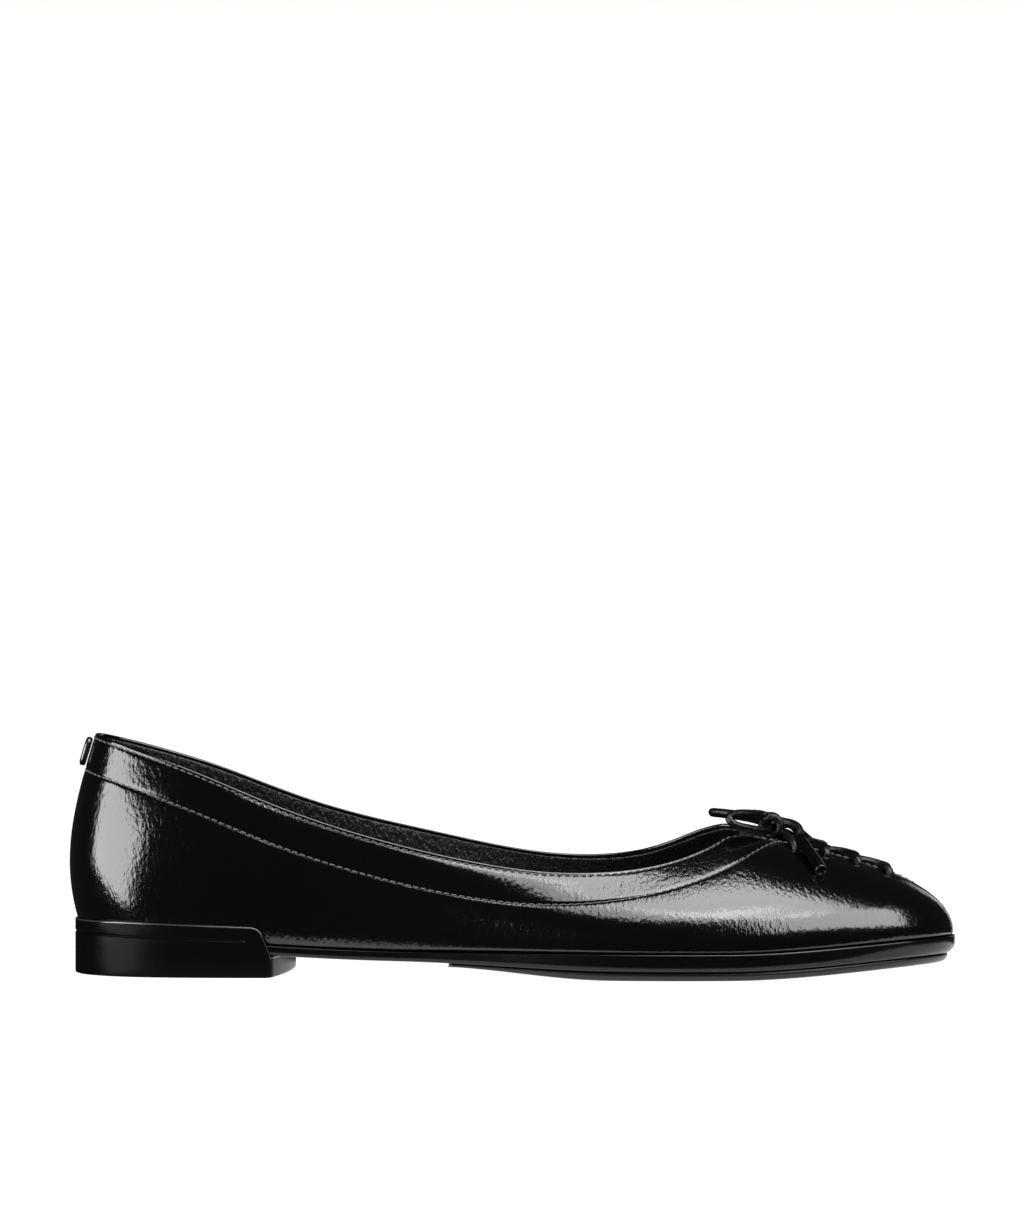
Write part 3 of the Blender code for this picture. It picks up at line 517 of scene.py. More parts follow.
def arms_round(across, other, sides):
    """Directions from a ring's middle to its corners, in the plane of two directions."""
    turns = [2 * math.pi * k / sides for k in range(sides)]
    return [across * math.cos(turn) + other * math.sin(turn) for turn in turns]


WELD = 0.002 * MM


def lay_piece(name, vertices, faces, material):
    """A piece from points in the last's own frame, set where the shoe stands."""
    mesh = bpy.data.meshes.new(name)
    mesh.from_pydata((np.asarray(vertices) + STAND).tolist(), [], faces)
    shape = bmesh.new()
    shape.from_mesh(mesh)
    bmesh.ops.remove_doubles(shape, verts=shape.verts, dist=WELD)
    bmesh.ops.dissolve_degenerate(shape, edges=shape.edges, dist=WELD)
    bmesh.ops.recalc_face_normals(shape, faces=shape.faces)
    shape.to_mesh(mesh)
    shape.free()
    mesh.shade_smooth()
    mesh.materials.append(material)
    piece = bpy.data.objects.new(name, mesh)
    bpy.context.collection.objects.link(piece)
    return piece


def closed_wall(rings):
    """Vertices and faces of a wall that runs round the shoe and closes on itself."""
    count = len(rings[0])
    vertices = np.vstack(rings)
    faces = grid_faces(len(rings), count)
    last = (len(rings) - 1) * count
    for j in range(count):
        k = (j + 1) % count
        faces.append((last + j, last + k, k, j))
    return vertices, faces


def plain_material(name, color, roughness=0.5):
    """A material of one colour, and its shader."""
    material = bpy.data.materials.new(name)
    material.use_nodes = True
    shader = material.node_tree.nodes["Principled BSDF"]
    shader.inputs["Base Color"].default_value = (*color, 1)
    shader.inputs["Roughness"].default_value = roughness
    return material, shader


def add_node(owner, kind, **values):
    """A node with the values of its sockets, whose names have _ for a space."""
    node = owner.node_tree.nodes.new(kind)
    for socket, value in values.items():
        node.inputs[socket.replace("_", " ")].default_value = value
    return node


# Size of the slow swell of stretched leather, and how far it makes the polish vary
SWELL_SIZE = 9 * MM
POLISH_LOW, POLISH_HIGH = 0.8, 1.25


def leather_material(name, color, roughness, coat, grain, grain_depth, swell, shine=0.5):
    """Black leather: fine grain of that size in millimetres over a slow swell, under a coat.
    shine is the strength of its own reflection."""
    material, shader = plain_material(name, color)
    shader.inputs["Coat Weight"].default_value = coat
    shader.inputs["Coat Roughness"].default_value = 0.05
    shader.inputs["Specular IOR Level"].default_value = shine
    place = add_node(material, "ShaderNodeTexCoord")
    stretch = add_node(material, "ShaderNodeMapping",
                       Rotation=(0.0, 0.35, 0.0), Scale=(1.25, 1.0, 0.6))
    fine = add_node(material, "ShaderNodeTexNoise", Scale=1 / (grain * MM), Detail=3)
    slow = add_node(material, "ShaderNodeTexNoise", Scale=1 / SWELL_SIZE, Detail=1)
    swelling = add_node(material, "ShaderNodeBump", Strength=1, Distance=swell * MM)
    bump = add_node(material, "ShaderNodeBump", Strength=1, Distance=grain_depth * MM)
    polish = add_node(material, "ShaderNodeMapRange",
                      To_Min=roughness * POLISH_LOW, To_Max=roughness * POLISH_HIGH)
    links = material.node_tree.links
    links.new(place.outputs["Object"], stretch.inputs["Vector"])
    links.new(stretch.outputs["Vector"], fine.inputs["Vector"])
    links.new(place.outputs["Object"], slow.inputs["Vector"])
    links.new(slow.outputs["Fac"], swelling.inputs["Height"])
    links.new(fine.outputs["Fac"], bump.inputs["Height"])
    links.new(swelling.outputs["Normal"], bump.inputs["Normal"])
    links.new(bump.outputs["Normal"], shader.inputs["Normal"])
    links.new(bump.outputs["Normal"], shader.inputs["Coat Normal"])
    links.new(slow.outputs["Fac"], polish.inputs["Value"])
    links.new(polish.outputs["Result"], shader.inputs["Roughness"])
    return material


glazed = leather_material("glazed black leather", (0.0011, 0.0011, 0.0012), 0.12, 0.3,
                          grain=1.25, grain_depth=0.10, swell=0.05)

depths = row_depths()
outside = [leather_row(depth) for depth in depths]
top_points, top_normals = outside[0]
upward = last_point(columns, reach) - last_point(columns, at_depth(LEATHER))
upward /= np.linalg.norm(upward, axis=1)[:, None]
rings = [points for points, _ in outside][::-1]
feather = last_point(columns, 0)
tuck = np.column_stack((plan_normal(FEATHER, columns), np.zeros(len(columns))))
# Where the leather turns under at the feather edge, in millimetres: inward and up
FEATHER_TURN = ((0.35, 0.05), (0.12, 0.35))
rings = [feather - tuck * LEATHER] + [feather - tuck * inward * MM + (0, 0, up * MM)
                                      for inward, up in FEATHER_TURN] + rings
rings += folded_edge(top_points, top_normals, upward, LEATHER)
HIDDEN_ROWS = 14
for k in range(HIDDEN_ROWS):
    depth = LEATHER / 2 + (below[0] - LEATHER) * k / (HIDDEN_ROWS - 1)
    v = at_depth(depth)
    rings.append(last_point(columns, v) - last_normal(columns, v) * LEATHER)
shell = lay_piece("upper_leather", *closed_wall(rings), glazed)

PUNCH_SIDES = 24
PUNCH_ENDS = (-3 * MM, 2 * MM)


def punch(piece):
    """Cut the lace holes through a piece of the upper."""
    vertices, faces = [], []
    for place, normal in holes:
        across = normal.orthogonal().normalized()
        faces.extend(tube_faces(len(PUNCH_ENDS), PUNCH_SIDES, len(vertices)))
        for depth in PUNCH_ENDS:
            for arm in arms_round(across, normal.cross(across), PUNCH_SIDES):
                vertices.append(place + normal * depth + arm * HOLE_DIAMETER / 2)
    cutter = lay_piece("hole punch", vertices, faces, glazed)
    modifier = piece.modifiers.new("lace holes", "BOOLEAN")
    modifier.operation = "DIFFERENCE"
    modifier.solver = "EXACT"
    modifier.object = cutter
    graph = bpy.context.evaluated_depsgraph_get()
    punched = bpy.data.meshes.new_from_object(piece.evaluated_get(graph))
    piece.modifiers.clear()
    piece.data = punched
    bpy.data.objects.remove(cutter)


punch(shell)
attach(shell, "root")
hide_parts("upper")

# Stitches. Black polyester thread, which glints grey: one row just under the folded edge all
# round topline and slit, and one row along the collar band. Each stitch dives at both ends.
THREAD = 0.42 * MM
STITCH_REACH = 0.40 * STITCH_PITCH
STITCH_SIDES = 6
STITCH_SHARES = np.array((-1, -0.85, -0.5, 0, 0.5, 0.85, 1))
STITCH_LIFT = 0.16 * MM
STITCH_DIVE = 0.30 * MM
STITCH_TAPER = 0.55


def closed_line(points):
    return np.vstack((points, points[:1]))


def stitches(line, normals):
    """Threads along a line of points on the leather, as vertices and faces."""
    along = lengths_along(line)
    count = int(along[-1] / STITCH_PITCH)
    vertices, faces = [], []
    for middle in (np.arange(count) + 0.5) * along[-1] / count:
        centres = places_along(line, along, middle + STITCH_SHARES * STITCH_REACH)
        up = places_along(normals, along, middle)[0]
        up /= np.linalg.norm(up)
        way = centres[-1] - centres[0]
        way /= np.linalg.norm(way)
        arms = arms_round(np.cross(way, up), up, STITCH_SIDES)
        faces.extend(tube_faces(len(centres), STITCH_SIDES, len(vertices)))
        for share, centre in zip(STITCH_SHARES, centres):
            lift = STITCH_LIFT - STITCH_DIVE * share**4
            thick = THREAD / 2 * (1 - STITCH_TAPER * share**6)
            vertices.extend(centre + up * lift + arm * thick for arm in arms)
    return vertices, faces


def thread_material(name, color, roughness):
    """Twisted thread: fine slanting ridges along each stitch."""
    material, shader = plain_material(name, color, roughness)
    shader.inputs["Sheen Weight"].default_value = 0.3
    place = add_node(material, "ShaderNodeTexCoord")
    twist = add_node(material, "ShaderNodeTexWave", Scale=1 / (2.2 * MM), Distortion=2)
    bump = add_node(material, "ShaderNodeBump", Distance=0.05 * MM)
    links = material.node_tree.links
    links.new(place.outputs["Object"], twist.inputs["Vector"])
    links.new(twist.outputs["Fac"], bump.inputs["Height"])
    links.new(bump.outputs["Normal"], shader.inputs["Normal"])
    return material


thread = thread_material("black thread", (0.035, 0.035, 0.037), 0.36)
edge_line, edge_normals = leather_row(EDGE_STITCH)
edge_row = lay_piece("edge_stitches",
                     *stitches(closed_line(edge_line), closed_line(edge_normals)), thread)
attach(edge_row, "root")

band_line, band_normals = leather_row(np.where(np.isnan(band), band_row, band))
has_band = np.flatnonzero(~np.isnan(band))
jump = np.flatnonzero(np.diff(has_band) > 1)[0] + 1
in_order = np.concatenate((has_band[jump:], has_band[:jump]))
band_stitches = lay_piece("band_stitches",
                          *stitches(band_line[in_order], band_normals[in_order]), thread)
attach(band_stitches, "root")

# Lining. Thinner black leather with a fine pebbled grain, glued behind the outer leather and
# trimmed just below its folded edge.
LINING = 0.62 * MM
LINING_SETBACK = 1.0 * MM
# The rounded edge in millimetres: down from its top and inward from its outer face
LINING_EDGE = ((0.35, 0), (0.08, 0.08), (0, 0.31), (0.1, 0.54))
LINING_EDGE_DEPTH = 0.4 * MM
LINING_SHORTER = 2.2 * MM
LINING_FRONT_ROWS = 26
LINING_BACK_ROWS = 9

grained = leather_material("pebbled lining leather", (0.009, 0.009, 0.0094), 0.3, 0.0,
                           grain=0.95, grain_depth=1.0, swell=0.03)


def lining_ring(depth, inward):
    v = at_depth(depth)
    return last_point(columns, v) - last_normal(columns, v) * inward


def lining_face(shares, inward):
    start = LINING_SETBACK + LINING_EDGE_DEPTH
    return [lining_ring(start + (below[0] - LINING_SHORTER) * share, inward) for share in shares]


rings = [lining_ring(LINING_SETBACK + down * MM, WALL - LINING + inward * MM)
         for down, inward in LINING_EDGE]
rings += lining_face(np.linspace(0, 1, LINING_FRONT_ROWS), WALL)
rings += lining_face(np.linspace(1, 0, LINING_BACK_ROWS)[:-1], WALL - LINING)
lining = lay_piece("upper_lining", *closed_wall(rings), grained)
punch(lining)
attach(lining, "root")

# Tongue. A thin soft piece of lining leather, stitched inside the vamp, that closes the slit.
# It is pulled up a little between the crossings of the lace.
TONGUE_THICKNESS = 1.2 * MM
TONGUE_MARGIN = 5.5 * MM
TONGUE_LAP = 2 * MM
TONGUE_SETBACK = 1.5 * MM
# How far it is pulled up on the whole and between the crossings, and how it rumples
TONGUE_PULL = 0.5 * MM
TONGUE_PUFF = 0.45 * MM
TONGUE_PULL_WIDTH = 1.7
RUMPLE = 0.16 * MM
RUMPLE_PACE = 1.7 / MM
RUMPLE_SLANT = 5
RUMPLE_FOLDS = 7
TONGUE_GRID = (90, 40)


def tongue_face(depth, rows, columns):
    front, back = SLIT_END + TONGUE_LAP, THROAT[0] + TONGUE_SETBACK
    face = []
    for i in range(rows):
        x = front + (back - front) * i / (rows - 1)
        half = float(slit_half_width(x)) + TONGUE_MARGIN
        between = math.cos(2 * math.pi * (x - SLIT_END + FIRST_HOLE) / HOLE_PITCH)
        for j in range(columns):
            share = 2 * j / (columns - 1) - 1
            place, normal = on_vamp(x, SLIT_Y + half * share)
            rise = ((TONGUE_PULL + TONGUE_PUFF * between)
                    * max(0, 1 - (TONGUE_PULL_WIDTH * share)**2))
            rumple = (RUMPLE * math.sin(x * RUMPLE_PACE + RUMPLE_SLANT * share)
                      * math.cos(RUMPLE_FOLDS * share))
            face.append(place - normal * (depth - rise + rumple))
    return face


def plate_between(top, bottom, rows, columns):
    """Closed sheet from two grids of points, one above the other."""
    count = rows * columns
    faces = []
    for i in range(rows - 1):
        for j in range(columns - 1):
            a = i * columns + j
            faces.append((a, a + 1, a + columns + 1, a + columns))
            faces.append((count + a, count + a + columns, count + a + columns + 1, count + a + 1))
    rim = list(range(columns))
    rim += [i * columns + columns - 1 for i in range(1, rows)]
    rim += [(rows - 1) * columns + j for j in range(columns - 2, -1, -1)]
    rim += [i * columns for i in range(rows - 2, 0, -1)]
    for i, a in enumerate(rim):
        b = rim[(i + 1) % len(rim)]
        faces.append((a, b, count + b, count + a))
    return list(top) + list(bottom), faces


tongue_top = tongue_face(WALL + CLEARANCE, *TONGUE_GRID)
tongue_bottom = tongue_face(WALL + CLEARANCE + TONGUE_THICKNESS, *TONGUE_GRID)
tongue = lay_piece("slit_tongue", *plate_between(tongue_top, tongue_bottom, *TONGUE_GRID), grained)
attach(tongue, "root")
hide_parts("tongue")

# Insole. A thin board with a sock of fine-grained lining leather glued on. It fills the upper's
# floor from side to side, a little domed across, with rounded edges.
INSOLE_THICKNESS = 2 * MM
INSOLE_CLEARANCE = 0.7 * MM
INSOLE_DOME = 0.5 * MM
# Its rounded edge in millimetres: outward, and down from its top
INSOLE_EDGE = ((0, 0.5), (-0.12, 0.2), (-0.5, 0))
# Points on each side of a sole's outline, from the middle of the back to the tip of the toe
HALF_ROUND = 260
round_u = np.concatenate((np.linspace(0, TIP, HALF_ROUND, endpoint=False),
                          np.linspace(TIP, AROUND, HALF_ROUND, endpoint=False)))
round_edge = section_at(round_u)[:, :2]
round_out = plan_normal(FEATHER, round_u)


def sole_ring(offset, height_of):
    """Outline of the shoe moved outward, at a height worked out from x."""
    plan = round_edge + round_out * np.broadcast_to(offset, round_u.shape)[:, None]
    return np.column_stack((plan, height_of(plan[:, 0])))


def cap(ring, across, crown):
    """Grid over the middle of a ring, raised in the middle by crown."""
    points = []
    for i in range(HALF_ROUND + 1):
        start, end = ring[i], ring[(2 * HALF_ROUND - i) % (2 * HALF_ROUND)]
        for k in range(across + 1):
            share = k / across
            place = start + (end - start) * share
            dome = 4 * share * (1 - share)
            points.append(place + np.array((0, 0, crown * dome)))
    return points


def sole_layer(name, rings, material, across=2, crown=0.0):
    """Closed layer from rings stacked upward, with its top domed by crown."""
    count = 2 * HALF_ROUND
    vertices = np.vstack(rings)
    faces = grid_faces(len(rings), count)
    for ring, dome in ((rings[0], 0.0), (rings[-1], crown)):
        start = len(vertices)
        vertices = np.vstack((vertices, cap(ring, across, dome)))
        for i in range(HALF_ROUND):
            for k in range(across):
                a = start + i * (across + 1) + k
                faces.append((a, a + 1, a + across + 2, a + across + 1))
    return lay_piece(name, vertices, faces, material)


def insole_height(rise):
    return lambda x: bed_height(x) + rise


insole_edge = -WALL - INSOLE_CLEARANCE
rings = [sole_ring(insole_edge, bed_height)]
rings += [sole_ring(insole_edge + outward * MM, insole_height(INSOLE_THICKNESS - down * MM))
          for outward, down in INSOLE_EDGE]
sock_leather = leather_material("insole sock leather", (0.009, 0.009, 0.0094), 0.34, 0.0,
                                grain=0.85, grain_depth=0.45, swell=0.03)
insole = sole_layer("insole_sock", rings, sock_leather, across=24, crown=INSOLE_DOME)
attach(insole, "root")
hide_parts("insole")

# Midsole. The strip between upper and outsole, covered with the same glazed leather. Its upper
# and lower edges are rounded, and at the toe it rolls under.
MIDSOLE_OUTSET = 0.5 * MM
MIDSOLE_GROWS = (0.36, 0.62)
TOE_ROLL_START = 0.84


def growth(x, grows):
    """How far a layer has thickened at x, from 0 to 1 between two shares of the shoe's length."""
    start, end = grows
    return smooth((x / SHOE_LENGTH - start) / (end - start))


def midsole_thickness(x):
    return MIDSOLE_WAIST + (MIDSOLE_FOREPART - MIDSOLE_WAIST) * growth(x, MIDSOLE_GROWS)


def midsole_top(x):
    return bed_height(x) - CLEARANCE


def midsole_bottom(x):
    return midsole_top(x) - midsole_thickness(x)


toe_roll = smooth((round_edge[:, 0] / SHOE_LENGTH - TOE_ROLL_START) / (1 - TOE_ROLL_START))


def midsole_ring(share, pull, roll_pull):
    def height(x):
        return midsole_bottom(x) + share * midsole_thickness(x)
    return sole_ring(MIDSOLE_OUTSET + (pull + roll_pull * toe_roll) * MM, height)


covered = leather_material("covered sole edge", (0.0011, 0.0011, 0.0012), 0.18, 0.0,
                           grain=1.3, grain_depth=0.03, swell=0.03, shine=0.4)
# Share of the strip's height, outward in millimetres, and as much again where the toe rolls
MIDSOLE_PROFILE = ((0.00, -1.5, -1.5), (0.00, -0.9, -1.3), (0.03, -0.5, -1.1), (0.10, -0.2, -0.9),
                   (0.22, -0.02, -0.62), (0.38, 0.05, -0.32), (0.55, 0.05, -0.12),
                   (0.72, 0.03, -0.02), (0.86, 0.0, 0), (0.95, -0.03, 0), (0.99, -0.12, 0),
                   (1.00, -0.32, 0), (1.00, -1.2, 0))
midsole = sole_layer("midsole_strip", [midsole_ring(*level) for level in MIDSOLE_PROFILE], covered)
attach(midsole, "root")
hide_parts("midsole")

# Outsole. A thin sheet of dark rubber under the forepart, cemented on and skived to a third of
# its thickness at its rear, with a rounded edge and a fine tread.
OUTSOLE_INSET = 0.7 * MM
OUTSOLE_GROWS = (0.43, 0.60)
OUTSOLE_REAR_EDGE = 0.35
OUTSOLE_REAR = SHOE_LENGTH - OUTSOLE_LENGTH
# The rear edge slopes back by a millimetre for each share of height below this one
REAR_SLOPE_TOP = 0.5


def outsole_thickness(x):
    grown = growth(x, OUTSOLE_GROWS)
    return OUTSOLE_THICKNESS * (OUTSOLE_REAR_EDGE + (1 - OUTSOLE_REAR_EDGE) * grown)


def outsole_ring(share, pull, roll_pull):
    """Ring of the outsole: it stops on a straight line across the shoe at its rear."""
    keep = OUTSOLE_REAR - (REAR_SLOPE_TOP - min(share, REAR_SLOPE_TOP)) * MM
    outward = -OUTSOLE_INSET + (pull + roll_pull * toe_roll) * MM
    plan = round_edge + round_out * outward[:, None]
    ahead = plan[:, 0] > keep
    first, last = np.flatnonzero(ahead)[0], np.flatnonzero(ahead)[-1]
    outer = plan[first:HALF_ROUND + 1]
    inner = plan[HALF_ROUND:last + 1]
    stations = np.linspace(0, 1, HALF_ROUND)
    place = []
    for line in (outer, inner[::-1]):
        along = lengths_along(line)
        start = line[0].copy()
        start[0] = keep
        line = np.vstack((start, line[1:]))
        place.append(places_along(line, along / along[-1], stations))
    ring = np.vstack((place[0], place[1][::-1]))
    top = midsole_bottom(ring[:, 0]) - CLEARANCE
    return np.column_stack((ring, top - (1 - share) * outsole_thickness(ring[:, 0])))


# The upward part of a face's direction where the tread begins and where it is at its deepest
TREAD_START = -0.8
TREAD_FULL = -0.97


def rubber_material(name, color, roughness):
    """Dark rubber with a fine tread of small dots and a satin skin."""
    material, shader = plain_material(name, color, roughness)
    place = add_node(material, "ShaderNodeTexCoord")
    dots = add_node(material, "ShaderNodeTexVoronoi", Scale=1 / (2.4 * MM), Randomness=0.12)
    skin = add_node(material, "ShaderNodeTexNoise", Scale=1 / (0.9 * MM))
    facing = add_node(material, "ShaderNodeSeparateXYZ")
    underneath = add_node(material, "ShaderNodeMapRange",
                          From_Min=TREAD_START, From_Max=TREAD_FULL)
    tread = add_node(material, "ShaderNodeBump", Distance=0.25 * MM)
    bump = add_node(material, "ShaderNodeBump", Distance=0.02 * MM)
    links = material.node_tree.links
    links.new(place.outputs["Object"], dots.inputs["Vector"])
    links.new(place.outputs["Object"], skin.inputs["Vector"])
    links.new(place.outputs["Normal"], facing.inputs["Vector"])
    links.new(facing.outputs["Z"], underneath.inputs["Value"])
    links.new(underneath.outputs["Result"], tread.inputs["Strength"])
    links.new(dots.outputs["Distance"], tread.inputs["Height"])
    links.new(skin.outputs["Fac"], bump.inputs["Height"])
    links.new(tread.outputs["Normal"], bump.inputs["Normal"])
    links.new(bump.outputs["Normal"], shader.inputs["Normal"])
    return material


rubber = rubber_material("dark outsole rubber", (0.0025, 0.0025, 0.0026), 0.3)
# Share of the sheet's thickness, outward in millimetres, and as much again where the toe rolls
OUTSOLE_PROFILE = ((0.00, -1.2, -2.2), (0.03, -0.7, -1.9), (0.15, -0.3, -1.6), (0.35, -0.08, -1.3),
                   (0.6, 0, -1.1), (0.9, 0, -0.95), (1.00, -0.15, -0.9))
rings = [outsole_ring(*level) for level in OUTSOLE_PROFILE]
count = 2 * HALF_ROUND
vertices = np.vstack(rings)
faces = grid_faces(len(rings), count)
for start in (0, (len(rings) - 1) * count):
    for i in range(HALF_ROUND - 1):
        far = start + count - 1 - i
        faces.append((start + i, start + i + 1, far - 1, far))
outsole = lay_piece("outsole_sheet", vertices, faces, rubber)
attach(outsole, "root")
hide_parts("outsole")

# Heel. A low block with a thin rim that cups the back of the upper, covered and lacquered, with
# a fine groove round its sides. Its front face is bowed back toward the outer side.
HEEL_LENGTH = 63.2 * MM
HEEL_SKEW = 5.8 * MM
HEEL_RIM_HEIGHT = 15.5 * MM
HEEL_RIM_DROP = 1.3 * MM
HEEL_RIM_SETBACK = 11 * MM
HEEL_OUTSET = 2 * MM
HEEL_CORNER = 3 * MM
HEEL_LEVEL_END = 0.3 * HEEL_LENGTH
RIM_FRONT = HEEL_LENGTH - HEEL_RIM_SETBACK
# The rim's way down to the seat, in millimetres forward and up from its front
RIM_CURVE = ((1.8, -0.6), (3.0, -2.3), (3.7, -4.0))
RIM_CURVE_LENGTH = 5.2 * MM
RIM_BLEND = 0.7 * MM
RIM_BLEND_STEPS = 7
RIM_LEAST, RIM_MOST = 0.35 * MM, 1.3 * MM
RIM_WALL_AT_FRONT = 1.1 * MM
ROOM_ABOVE_SEAT = 2.6 * MM
GROOVE_DEPTH = 0.3 * MM
GROOVE_END = 50.4 * MM
GROOVE_FADE = 1.2 * MM
GROOVE_BACK_HEIGHT, GROOVE_FRONT_HEIGHT = 11.9 * MM, 10.3 * MM
GROOVE_BELOW_RIM = 1.5 * MM
# Profiles in millimetres. The foot of the block: inward, and up from the floor. The groove: up
# from its middle, and share of its depth. The rim's edge: inward, and down from its top.
HEEL_FOOT = ((1.4, 0), (0.55, 0), (0.2, 0.12), (0.04, 0.35), (0, 0.7))
GROOVE_PROFILE = ((-0.5, 0), (-0.3, 0.12), (-0.15, 0.9), (0, 1), (0.15, 0.9), (0.3, 0.12),
                  (0.5, 0))
RIM_EDGE = ((0, 0.45), (0.03, 0.2), (0.14, 0.05), (0.26, 0))
OUTLINE_PITCH = 0.55 * MM
FRONT_PITCH = 0.9 * MM
CORNER_POINTS = 14
GAP_LEVELS = 40
GAP_COLUMNS = 900


def seat_height(x):
    return midsole_bottom(x) - CLEARANCE


def rim_height(x):
    """Height of the heel's upper edge: the rim, then its curve down to the seat."""
    end = HEEL_RIM_HEIGHT - HEEL_RIM_DROP
    xs = [-HEEL_LENGTH, HEEL_LEVEL_END, RIM_FRONT]
    zs = [HEEL_RIM_HEIGHT, HEEL_RIM_HEIGHT, end]
    xs += [RIM_FRONT + dx * MM for dx, _ in RIM_CURVE]
    zs += [end + dz * MM for _, dz in RIM_CURVE]
    seat_front = RIM_FRONT + RIM_CURVE_LENGTH
    xs += [seat_front]
    zs += [float(seat_height(seat_front))]
    shifts = np.linspace(-RIM_BLEND, RIM_BLEND, RIM_BLEND_STEPS)
    blend = sum(np.interp(x + shift, xs, zs) for shift in shifts) / RIM_BLEND_STEPS
    return np.where(x > seat_front, seat_height(x), blend)


def heel_outline():
    """Plan outline of the heel, from the back over the outer side."""
    plan = round_edge + round_out * HEEL_OUTSET
    outer = plan[:HALF_ROUND][plan[:HALF_ROUND, 0] < HEEL_LENGTH]
    inner = plan[HALF_ROUND:][plan[HALF_ROUND:, 0] < HEEL_LENGTH]

    def fill(line, pitch):
        along = lengths_along(line)
        return places_along(line, along, np.linspace(0, along[-1], int(along[-1] / pitch)))

    def rounded(before, corner, after):
        turn = np.linspace(0, 1, CORNER_POINTS)[:, None]
        return (1 - turn)**2 * before + 2 * turn * (1 - turn) * corner + turn**2 * after

    outer_corner = np.array((HEEL_LENGTH, outer[-1, 1]))
    inner_corner = np.array((HEEL_LENGTH, inner[0, 1]))
    outer = outer[outer[:, 0] < HEEL_LENGTH - HEEL_CORNER]
    inner = inner[inner[:, 0] < HEEL_LENGTH - HEEL_CORNER]
    front_start = outer_corner + (0, HEEL_CORNER)
    front_end = inner_corner - (0, HEEL_CORNER)
    line = np.vstack((outer, rounded(outer[-1], outer_corner, front_start)[1:],
                      fill(np.vstack((front_start, front_end)), FRONT_PITCH)[1:],
                      rounded(front_end, inner_corner, inner[0])[1:-1], inner))
    aside = (inner_corner[1] - line[:, 1]) / (inner_corner[1] - outer_corner[1])
    ahead = smooth((line[:, 0] - RIM_FRONT) / (HEEL_LENGTH - RIM_FRONT))
    line[:, 0] -= HEEL_SKEW * np.clip(aside, 0, 1)**2 * ahead
    return fill(closed_line(line), OUTLINE_PITCH)[:-1]


outline = heel_outline()
run = np.roll(outline, -1, axis=0) - np.roll(outline, 1, axis=0)
run /= np.linalg.norm(run, axis=1)[:, None]
heel_out = np.column_stack((run[:, 1], -run[:, 0]))
rim_top = rim_height(outline[:, 0])
seat = seat_height(outline[:, 0])


def last_gap():
    """How far inside the heel's side the upper lies, at the height of the rim."""
    levels = np.linspace(0, 0.5, GAP_LEVELS)
    u = np.linspace(0, AROUND, GAP_COLUMNS, endpoint=False)
    lines = np.array([last_point(u, level) for level in levels])
    gaps = np.empty(len(outline))
    for i, (place, top) in enumerate(zip(outline, rim_top)):
        near = np.argmin(np.linalg.norm(lines[0, :, :2] - place, axis=1))
        x = np.interp(top, lines[:, near, 2], lines[:, near, 0])
        y = np.interp(top, lines[:, near, 2], lines[:, near, 1])
        gaps[i] = np.dot(place - (x, y), heel_out[i]) - CLEARANCE
    return gaps


rim_wall = np.clip(last_gap(), RIM_LEAST, RIM_MOST)
front_share = smooth((outline[:, 0] - RIM_FRONT) / RIM_CURVE_LENGTH)
rim_wall = rim_wall * (1 - front_share) + RIM_WALL_AT_FRONT * front_share
groove = GROOVE_DEPTH * smooth((GROOVE_END - outline[:, 0]) / GROOVE_FADE)
groove_z = (GROOVE_BACK_HEIGHT + (GROOVE_FRONT_HEIGHT - GROOVE_BACK_HEIGHT)
            * np.clip(outline[:, 0] / GROOVE_END, 0, 1))
groove_z = np.minimum(groove_z, rim_top - GROOVE_BELOW_RIM)
foot_top = HEEL_FOOT[-1][1] * MM
groove_low = GROOVE_PROFILE[0][0] * MM


def heel_ring(inset, z):
    plan = outline - heel_out * np.broadcast_to(inset, rim_top.shape)[:, None]
    return np.column_stack((plan, np.broadcast_to(z, rim_top.shape)))


rings = [heel_ring(inward * MM, up * MM) for inward, up in HEEL_FOOT]
rings += [heel_ring(0, foot_top + share * (groove_z + groove_low - foot_top))
          for share in (0.25, 0.5, 0.75)]
rings += [heel_ring(groove * deep, groove_z + up * MM) for up, deep in GROOVE_PROFILE]
rings.append(heel_ring(0, (groove_z + rim_top) / 2))
rings += [heel_ring(inward * MM, rim_top - down * MM) for inward, down in RIM_EDGE]
# Inside, the rim's wall ends clear of the upper, and a room stays open for the midsole.
rings += [heel_ring(np.maximum(rim_wall - 0.1 * MM, 0.3 * MM), rim_top - 0.02 * MM),
          heel_ring(np.maximum(rim_wall, 0.36 * MM), rim_top - 0.2 * MM)]
room_wall = HEEL_OUTSET - MIDSOLE_OUTSET - CLEARANCE
rings += [heel_ring(room_wall, np.minimum(rim_top - 0.3 * MM, seat + ROOM_ABOVE_SEAT)),
          heel_ring(room_wall, seat - 0.05 * MM)]
lacquer = leather_material("lacquered heel cover", (0.0015, 0.0015, 0.0016), 0.26, 0.0,
                           grain=0.9, grain_depth=0.02, swell=0.015, shine=0.035)
# The burnished edge is really glossier than the block, and its colour is also painted lighter, a
# painted glint along the rim's edge and the groove's lower lip.
burnish_and_painted_glint = leather_material("burnished heel edge with painted glint", (0.02, 0.02, 0.021), 0.16, 0.6,
                             grain=0.9, grain_depth=0.01, swell=0.01)
heel = lay_piece("heel_block", np.vstack(rings), tube_faces(len(rings), len(outline)), lacquer)
heel.data.materials.append(burnish_and_painted_glint)
